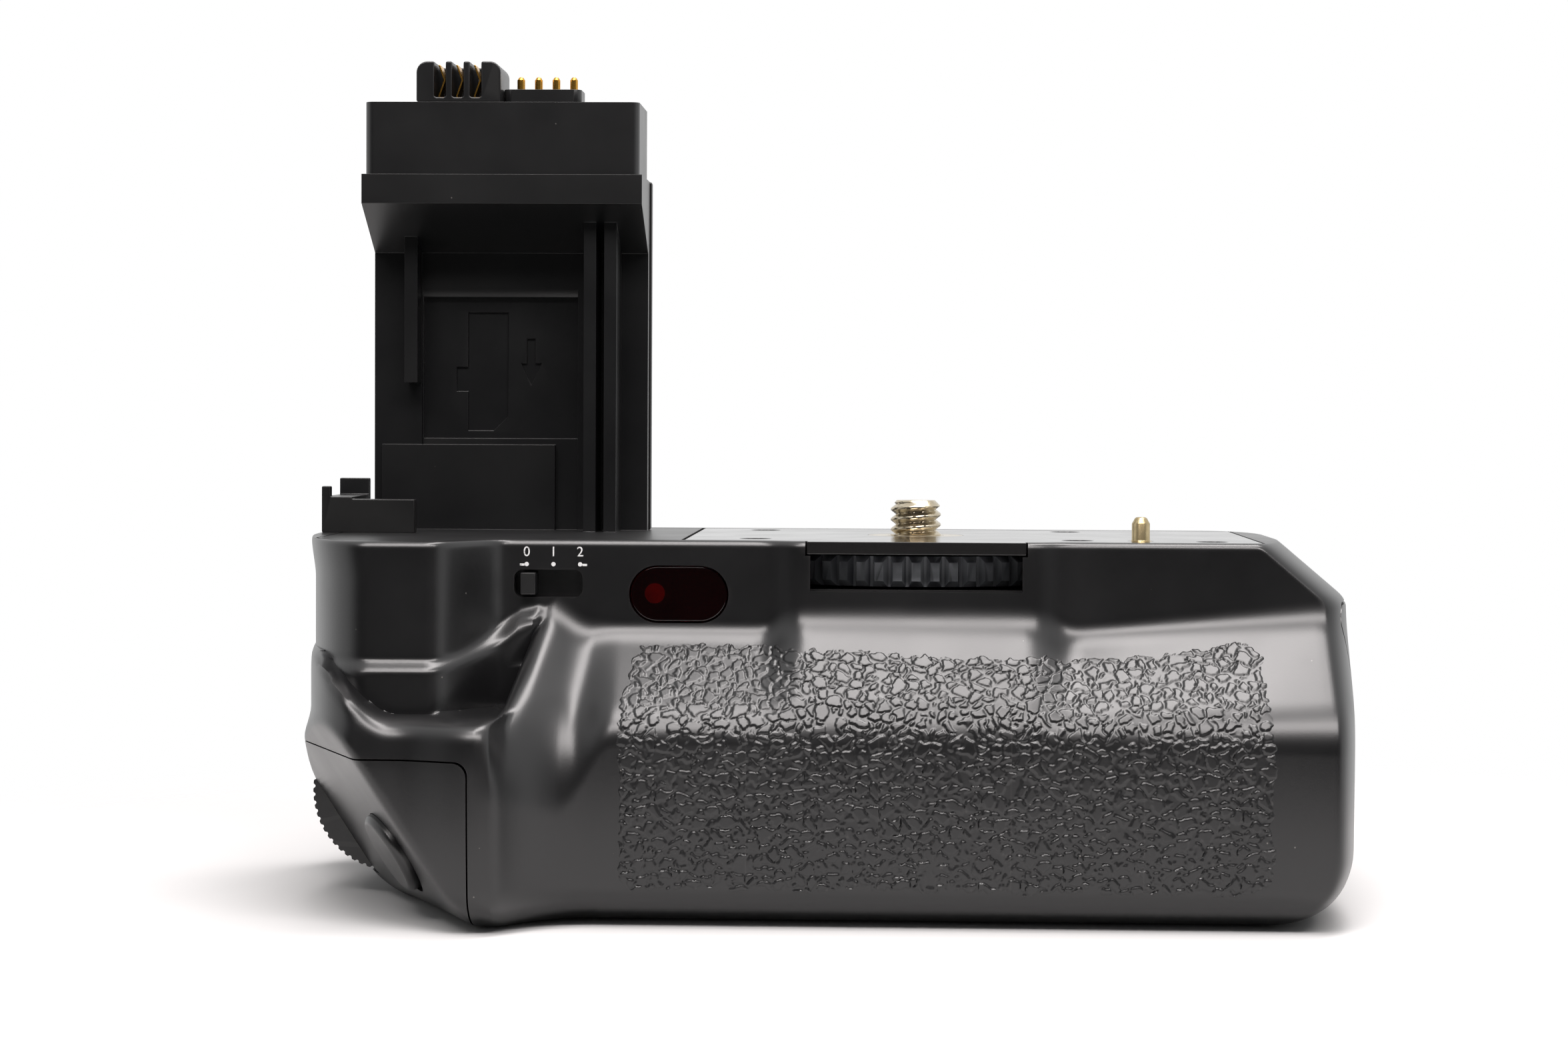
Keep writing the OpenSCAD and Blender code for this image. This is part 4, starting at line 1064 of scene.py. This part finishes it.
def makeFrontShell():
    y0, y1 = frontCut
    half, lip = wheelSlot["half"], wheelSlot["lip"]
    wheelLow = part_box("thumbwheel")[0].z / mm - form["play"]
    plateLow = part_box("thumbwheel")[1].z / mm + form["play"]
    shell = makeFrontForm(step=0.5, inset=0, backY=form["partY"])
    carve(
        shell,
        makeFrontForm(step=1.2, inset=form["wall"], backY=form["partY"] + spare),
        shutterSpace(form["seam"]),
        doorSpace(form["play"]),
        sleeveSpace(),
        topSpace(),
        boxFrom((-half, y0, plateLow - form["seam"]), (half, y1, form["top"] + spare)),
        baseSpace(),
        boxFrom((lip - half, y0, wheelLow), (half - lip, y1, plateLow)),
        switchSpace(),
        windowSpace(),
    )
    shell.name = "frontShell"
    return finishPiece(shell, "housing", "black_plastic", satinAbs, "front_shell", angle=40)


def makeShutterHousing():
    house = makeFrontForm(step=0.5, inset=0, backY=form["partY"])
    carve(house, shutterSpace(0), operation="INTERSECT")
    carve(house, makeFrontForm(step=1.2, inset=form["wall"], backY=form["partY"] + spare))
    at, out, deep = Vector(form["pressAt"]), Vector(form["pressOut"]), shutter["buttonDeep"]
    dialLow, dialHigh = nodeBox("main_dial")
    centre = (dialLow + dialHigh) / 2
    dialR = (dialHigh.x - dialLow.x) / 2 + form["play"] + shutter["dialPlay"]
    dialStart = (centre.x, dialLow.y - form["play"], centre.z)
    dialWidth = dialHigh.y - dialLow.y + 2 * form["play"]
    carve(
        house,
        rodFrom(at - out * deep, out * 2 * deep, shutter["buttonR"] + form["play"]),
        rodFrom(dialStart, (0, dialWidth, 0), dialR),
    )
    house.name = "shutterHousing"
    return finishPiece(house, "housing", "black_plastic", satinAbs, "shutter_housing", angle=40)


def makeRearShell():
    rear, p = form["rear"], powerSlot
    shell = makeRearForm(step=0.8, inset=0, backY=form["partY"])
    carve(
        shell,
        makeRearForm(step=1.6, inset=form["wall"], backY=form["partY"] - spare),
        doorSpace(form["play"]),
        sleeveSpace(),
        topSpace(),
        baseSpace(),
    )
    for name in ("lock_button", "focus_button", "exposure_button"):
        low, high = nodeBox(name)
        centre = (low + high) / 2
        start = (centre.x, rear + rearKeys["front"], centre.z)
        carve(shell, rodFrom(start, (0, rearKeys["length"], 0), rearKeys["radius"] + form["play"]))
    low, high = nodeBox("power_knob")
    carve(
        shell,
        boxFrom(
            (low.x + p["lapX"], rear + p["front"], low.z + p["lapZ"]),
            (high.x - p["lapX"] + p["travel"], rear + p["back"], high.z - p["lapZ"]),
        ),
    )
    shell.name = "rearShell"
    return finishPiece(shell, "housing", "black_plastic", satinAbs, "rear_shell", angle=40)


makeFrontShell()
print("front shell made")
makeShutterHousing()
makeRearShell()
print("shells made")
makePebbles()
print("pebbles made")


# The other pieces: copies of the solids with their edges eased, as a mould or a file leaves them

slotOf = {part["node"]: part["material_slot"] for part in frame["record"]["subparts"]}


def nodeCopy(node):
    words = node.split("_")
    name = words[0] + "".join(w.capitalize() for w in words[1:])
    piece = bpy.data.objects.new(name, frame["nodes"][node].data.copy())
    bpy.context.scene.collection.objects.link(piece)
    makeActive(piece)
    bpy.ops.mesh.customdata_custom_splitnormals_clear()
    editAll(piece)
    bpy.ops.mesh.remove_doubles(threshold=0.002 * mm)
    bpy.ops.mesh.dissolve_limited(angle_limit=math.radians(0.5))
    endEdit()
    return piece


def easeEdges(piece, width):
    applyModifier(
        piece,
        "BEVEL",
        width=width * mm,
        segments=2,
        limit_method="ANGLE",
        angle_limit=math.radians(35),
        miter_outer="MITER_ARC",
    )
    return piece


def easedCopy(node, width):
    return easeEdges(nodeCopy(node), width)


def dress(piece, node, material, angle=32):
    finishPiece(piece, frame["nodes"][node]["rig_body"], slotOf[node], material, node, angle=angle)
    applyModifier(piece, "WEIGHTED_NORMAL", weight=100, keep_sharp=True)  # flat faces stay flat
    return piece


def paint(material, *nodes):  # a solid inside the housing keeps its mesh
    for node in nodes:
        slots = frame["nodes"][node].data.materials
        for i in range(len(slots)):
            slots[i] = material


def plateFrom(points, y0, y1):  # a plate of that outline in X and Z, from y0 to y1
    deselectAll()
    bpy.ops.mesh.primitive_circle_add(vertices=len(points), radius=1, fill_type="NGON")
    plate = bpy.context.object
    spots = [c * mm for x, z in points for c in (x, y0, z)]
    plate.data.vertices.foreach_set("co", spots)
    return drawOut(plate, (0, y1 - y0, 0))


stemPanel = dict(
    recess=1.4,  # depth of the panel before the back cover
    side=0.4,
    edge=0.15,
    sink=0.35,  # depth of the signs
    lap=0.3,
)
stemWell = dict(x0=6.3, x1=26.4, z0=56.8, z1=77.0, deep=0.5, rise=1.5, fall=2.5)
batterySign = dict(x0=12.0, x1=17.2, z0=57.8, z1=73.2, cut=1.85, tabX=10.5, tabLow=62.9, tabHigh=66.1)
arrowSign = dict(x0=18.9, x1=21.6, mid=20.2, half=0.55, z0=63.7, neck=66.6, z1=69.8)


def batteryOutline(left):
    s = batterySign
    a, b, tab = left + s["x0"], left + s["x1"], left + s["tabX"]
    points = [(a, s["z1"]), (b, s["z1"]), (b, s["z0"] + s["cut"]), (b - s["cut"], s["z0"])]
    points += [(a, s["z0"]), (a, s["tabLow"]), (tab, s["tabLow"])]
    return points + [(tab, s["tabHigh"]), (a, s["tabHigh"])]


def arrowOutline(left):
    s = arrowSign
    mid, half, neck = left + s["mid"], s["half"], s["neck"]
    points = [(mid - half, s["z1"]), (mid + half, s["z1"]), (mid + half, neck)]
    points += [(left + s["x1"], neck), (mid, s["z0"]), (left + s["x0"], neck)]
    return points + [(mid - half, neck)]


def makeStem():
    p, w = stemPanel, stemWell
    stem = nodeCopy("stem_frame")
    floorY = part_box("stem_back")[0].y / mm - p["recess"]
    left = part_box("stem_cap")[0].x / mm - p["side"]
    wellY = floorY + w["deep"]
    dip = boxFrom((left + w["x0"], floorY - p["lap"], w["z0"]), (left + w["x1"], wellY, w["z1"]))
    for corner in dip.data.vertices:  # the well's upper end slopes
        if corner.co.z > (w["z1"] - 1) * mm:
            corner.co.z += (w["rise"] if corner.co.y < floorY * mm else -w["fall"]) * mm
    carve(stem, dip)
    for outline in (batteryOutline(left), arrowOutline(left)):
        carve(stem, plateFrom(outline, floorY - spare, wellY + p["sink"]))
    return dress(easeEdges(stem, p["edge"]), "stem_frame", stemAbs)


thread = dict(  # 1/4-20
    pitch=1.27,
    outer=3.15,
    inner=2.55,
    steep=2.7,
    root=0.1,
    sides=72,
    rings=14,  # in one pitch
    tip=0.75,  # bevel of the screw's end
    over=0.1,  # the screw's plain part ends this far over the deck
    under=0.4,  # and its thread starts this far under it
    pastSocket=0.6,
    socketEdge=0.2,
)


def threadedRod(low, high, tip):  # along Z, bevelled at its upper end
    outer, pitch = thread["outer"], thread["pitch"]

    def place(t, z):
        phase = (z / pitch - t / (2 * math.pi)) % 1
        flank = clamp01(thread["steep"] * (0.5 - np.abs(phase - 0.5)) - thread["root"])
        r = np.minimum(mix(thread["inner"], outer, flank), outer - np.maximum(z - high + tip, 0))
        return r * np.cos(t), r * np.sin(t), z

    turns = [2 * math.pi * i / thread["sides"] for i in range(thread["sides"] + 1)]
    rod = sheetFrom("thread", turns, span(low, high, pitch / thread["rings"]) + [high], place)
    editAll(rod)
    bpy.ops.mesh.remove_doubles(threshold=0.001 * mm)
    selectBorder()
    bpy.ops.mesh.fill_holes(sides=0)
    endEdit()
    return rod


def makeCameraScrew():
    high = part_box("camera_screw")[1].z / mm
    hub = nodeCopy("camera_screw")
    editAll(hub)
    bpy.ops.mesh.bisect(
        plane_co=(0, 0, (form["top"] + thread["over"]) * mm),
        plane_no=(0, 0, 1),
        use_fill=True,
        clear_outer=True,
    )
    endEdit()
    rod = threadedRod(form["top"] - thread["under"], high, thread["tip"])
    return dress(carve(hub, rod, operation="UNION"), "camera_screw", screwPlate, angle=40)


def makeTripodSocket():
    high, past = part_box("tripod_socket")[1].z / mm, thread["pastSocket"]
    socket = easedCopy("tripod_socket", thread["socketEdge"])
    carve(socket, threadedRod(-past, high + past, 0))
    return dress(socket, "tripod_socket", nickelPlate, angle=40)


cross = dict(edge=0.12, blade=0.22, over=0.3, deep=0.55)
baseScrews = dict(xs=(-40.0, 38.0), ys=(-14.0, 11.0), faceZ=0.1, inward=1, reach=1.25)
topScrews = dict(
    xs=(-19.5, 19.5), ys=(-15.5, 15.5), faceZ=form["top"] - 0.2, inward=-1, reach=1.1
)


def makeScrews(node, s):  # cross recesses in the heads
    screws = easedCopy(node, cross["edge"])
    face, inward = s["faceZ"], s["inward"]
    low, high = sorted((face - cross["over"] * inward, face + cross["deep"] * inward))
    for x in s["xs"]:
        for y in s["ys"]:
            for dx, dy in ((s["reach"], cross["blade"]), (cross["blade"], s["reach"])):
                carve(screws, boxFrom((x - dx, y - dy, low), (x + dx, y + dy, high)))
    return dress(screws, node, nickelPlate)


dome = dict(radius=1.35, back=0.2, edge=0.15)


def makeReceiver():
    low, high = nodeBox("receiver")
    dress(easedCopy("receiver", dome["edge"]), "receiver", keyAbs)
    deselectAll()
    bpy.ops.mesh.primitive_uv_sphere_add(
        segments=32,
        ring_count=16,
        radius=dome["radius"] * mm,
        location=Vector(((low.x + high.x) / 2, low.y + dome["back"], (low.z + high.z) / 2)) * mm,
    )
    # the red dome carries the painted glow
    finishPiece(settle("receiverDome"), "housing", "red_window", receiverLensPaintedGlow)


label = dict(
    marks=(("0", -46.5, -1), ("1", -43.3, 0), ("2", -40.1, 1)),  # number, X, side of its bar
    z=43.0,
    size=1.6675,  # of the font; its numbers are 1.15 mm high
    lift=0.015,
    half=0.012,  # half the ink's thickness
    dotZ=42.05,
    dotR=0.26,
    barOut=0.55,
    barHalf=0.28,
    barLow=0.2,
    barHigh=0.06,
)


def makeLabels():  # plain numbers and dots over the switch's three positions
    faceY, half, dotZ = -form["band"] - label["lift"], label["half"], label["dotZ"]
    pieces = []
    for word, x, side in label["marks"]:
        deselectAll()
        bpy.ops.object.text_add()
        text = bpy.context.object
        text.data.body = word
        text.data.align_x = "CENTER"
        text.data.size = label["size"] * mm
        text.data.extrude = half * mm
        bpy.ops.object.convert(target="MESH")
        text = bpy.context.object
        text.location = Vector((x, faceY, label["z"])) * mm
        text.rotation_euler = (math.pi / 2, 0, 0)
        pieces.append(settle("number"))
        pieces.append(rodFrom((x, faceY - half, dotZ), (0, 2 * half, 0), label["dotR"], 24))
        if side:
            barX = x + side * label["barOut"]
            low = (barX - label["barHalf"], faceY - half, dotZ - label["barLow"])
            high = (barX + label["barHalf"], faceY + half, dotZ + label["barHigh"])
            pieces.append(boxFrom(low, high))
    finishPiece(joined("switchMarks", *pieces), "housing", "control_plastic", printInk, angle=0)


def makeTrayDoor():  # the end of the housing's form, cut out along the door's outline
    x0, x1 = form["capX"], form["right"]
    end = makeFrontForm(step=0.9, inset=0, backY=form["partY"] + door["lap"])
    carve(end, makeRearForm(step=1.2, inset=0, backY=form["partY"]), operation="UNION")
    carve(end, doorSpace(0), operation="INTERSECT")
    knobLow, knobHigh = nodeBox("tray_knob")
    camHigh = nodeBox("tray_cam")[1]
    midZ = (knobLow.z + knobHigh.z) / 2
    knobR = (knobHigh.z - knobLow.z) / 2 + form["play"]
    carve(
        end,
        rodFrom((x1 - door["knobDeep"], 0, midZ), (door["knobRun"], 0, 0), knobR),
        rodFrom((x0 - spare, 0, midZ), (door["shaftRun"], 0, 0), door["shaftR"]),
        boxFrom(
            (x0 - spare, door["camY"], midZ - door["camDrop"]),
            (camHigh.x + form["play"], camHigh.y + spare, door["high"] + spare),
        ),
    )
    end.name = "trayCap"
    return dress(end, "tray_cap", satinAbs, angle=40)


easedPieces = (  # node, material, width of the eased edge
    ("top_plate", deckAbs, 0.2),
    ("base_plate", satinAbs, 0.3),
    ("stem_back", stemAbs, 0.3),
    ("stem_cap", stemAbs, 0.3),
    ("contact_block", stemAbs, 0.22),
    ("pin_block", stemAbs, 0.3),
    ("leaf_contacts", goldPlate, 0.06),
    ("contact_pins", goldPlate, 0.1),
    ("door_holder", stemAbs, 0.22),
    # the thumbwheel takes the black plastic painted lighter, as painted light
    ("thumbwheel", wheelAbsPaintedLight, 0.18),
    ("screw_bush", nickelPlate, 0.15),
    ("guide_pin", brassPin, 0.25),
    ("receiver_window", redAcrylic, 0.2),
    ("remote_knob", keyAbs, 0.15),
    ("shutter_button", keyAbs, 0.25),
    ("main_dial", keyAbs, 0.04),
    ("lock_button", keyAbs, 0.25),
    ("focus_button", keyAbs, 0.25),
    ("exposure_button", keyAbs, 0.25),
    ("power_knob", keyAbs, 0.2),
    ("battery_tray", innerAbs, 0.2),
    ("tray_contacts", goldPlate, 0.08),
    ("tray_knob", keyAbs, 0.3),
    ("tray_cam", nickelPlate, 0.12),
)
for node, material, width in easedPieces:
    dress(easedCopy(node, width), node, material)
makeStem()
makeCameraScrew()
makeTripodSocket()
makeScrews("base_screws", baseScrews)
makeScrews("top_screws", topScrews)
makeReceiver()
makeLabels()
makeTrayDoor()
paint(innerAbs, "chassis", "terminal_block")
paint(boardLacquer, "stem_board", "main_board", "control_board", "rear_board")
paint(nickelPlate, "remote_switch", "shutter_switch", "power_switch", "dial_axle")
paint(goldPlate, "terminal_blades")
paint(silicone, "button_pad")
print("pieces dressed")


# Studio

studio = dict(
    eye=(-1.83, -418.4, 59.6),
    lens=76.3,  # 4985 px of focal length on a 2352 px frame
    sensor=36,
    pitch=1.795,
    yaw=2.03,
    roll=-0.3,
    floorTint="#cccccc",
    lampTint="#fffaf9",
    fill=0.3,  # of the tent's light on matt faces
    tentFrom=-0.7,  # in reflections the tent is dark to here, bright from there
    tentTo=-0.15,
    tentDark=0.03,
    tentBright=0.95,
    paper=(105, 180),  # the paper's white runs out into the white ground between these distances
    softboxes=(  # name, place, aim, size, radiance
        ("topLight", (60, -60, 760), (0, -20, 20), (860, 240), 12.0),
        ("frontLight", (60, -470, 560), (0, -20, 20), (860, 190), 12.0),
    ),
)


def setCamera():
    camera = bpy.data.objects.new("camera", bpy.data.cameras.new("camera"))
    bpy.context.scene.collection.objects.link(camera)
    camera.data.sensor_width = studio["sensor"]
    camera.data.lens = studio["lens"]
    camera.data.clip_start = 0.01
    camera.location = Vector(studio["eye"]) * mm
    turn = (90 - studio["pitch"], studio["roll"], studio["yaw"])
    camera.rotation_euler = [math.radians(a) for a in turn]
    bpy.context.scene.camera = camera


def setLights():
    for name, place, aim, size, radiance in studio["softboxes"]:
        lamp = bpy.data.lights.new(name, "AREA")
        lamp.shape = "RECTANGLE"
        lamp.size, lamp.size_y = size[0] * mm, size[1] * mm
        lamp.color = linear(studio["lampTint"])[:3]
        lamp.energy = radiance * math.pi * lamp.size * lamp.size_y
        holder = bpy.data.objects.new(name, lamp)
        holder.location = Vector(place) * mm
        holder.rotation_euler = (Vector(aim) - Vector(place)).to_track_quat("-Z", "Y").to_euler()
        bpy.context.scene.collection.objects.link(holder)


def setWorld():  # a white tent, dark on the camera's side in reflections
    world = bpy.data.worlds.new("whiteTent")
    bpy.context.scene.world = world
    world.use_nodes = True
    tree = world.node_tree
    tree.nodes.clear()
    path = addNode(tree, "LightPath")
    way = addNode(
        tree,
        "SeparateXYZ",
        links={"Vector": addNode(tree, "TexCoord").outputs["Generated"]},
    )
    tent = addNode(
        tree,
        "MapRange",
        {
            "From Min": studio["tentFrom"],
            "From Max": studio["tentTo"],
            "To Min": studio["tentDark"],
            "To Max": studio["tentBright"],
        },
        {"Value": way.outputs["Y"]},
    )
    fill = addNode(
        tree,
        "Mix",
        {"A": studio["fill"]},
        {"Factor": path.outputs["Is Glossy Ray"], "B": tent.outputs["Result"]},
    )
    direct = addNode(
        tree,
        "Math",
        {"operation": "ADD", "use_clamp": True},
        {0: path.outputs["Is Camera Ray"], 1: path.outputs["Is Transmission Ray"]},
    )
    seen = addNode(
        tree,
        "Math",
        {"operation": "MAXIMUM"},
        {0: fill.outputs["Result"], 1: direct.outputs["Value"]},
    )
    glow = addNode(
        tree,
        "Background",
        {"Color": (1, 1, 1, 1)},
        {"Strength": seen.outputs["Value"]},
    )
    addNode(tree, "OutputWorld", links={"Surface": glow.outputs["Background"]})


def setFloor():  # a sheet of white paper that runs out into the white ground
    deselectAll()
    bpy.ops.mesh.primitive_plane_add(size=2)
    floor = settle("floor")
    material, tree, shader, place = newMaterial("matWhitePaper", {"Roughness": 0.9})
    shader.inputs["Base Color"].default_value = linear(studio["floorTint"])
    far = addNode(tree, "VectorMath", {"operation": "LENGTH"}, {0: place})
    near, out = studio["paper"]
    shown = addNode(
        tree,
        "MapRange",
        {"From Min": out * mm, "From Max": near * mm, "interpolation_type": "SMOOTHSTEP"},
        {"Value": far.outputs["Value"]},
    )
    tree.links.new(shown.outputs["Result"], shader.inputs["Alpha"])
    floor.data.materials.append(material)


setCamera()
setLights()
setWorld()
setFloor()
bpy.context.scene.view_settings.view_transform = "Standard"
print("studio set")
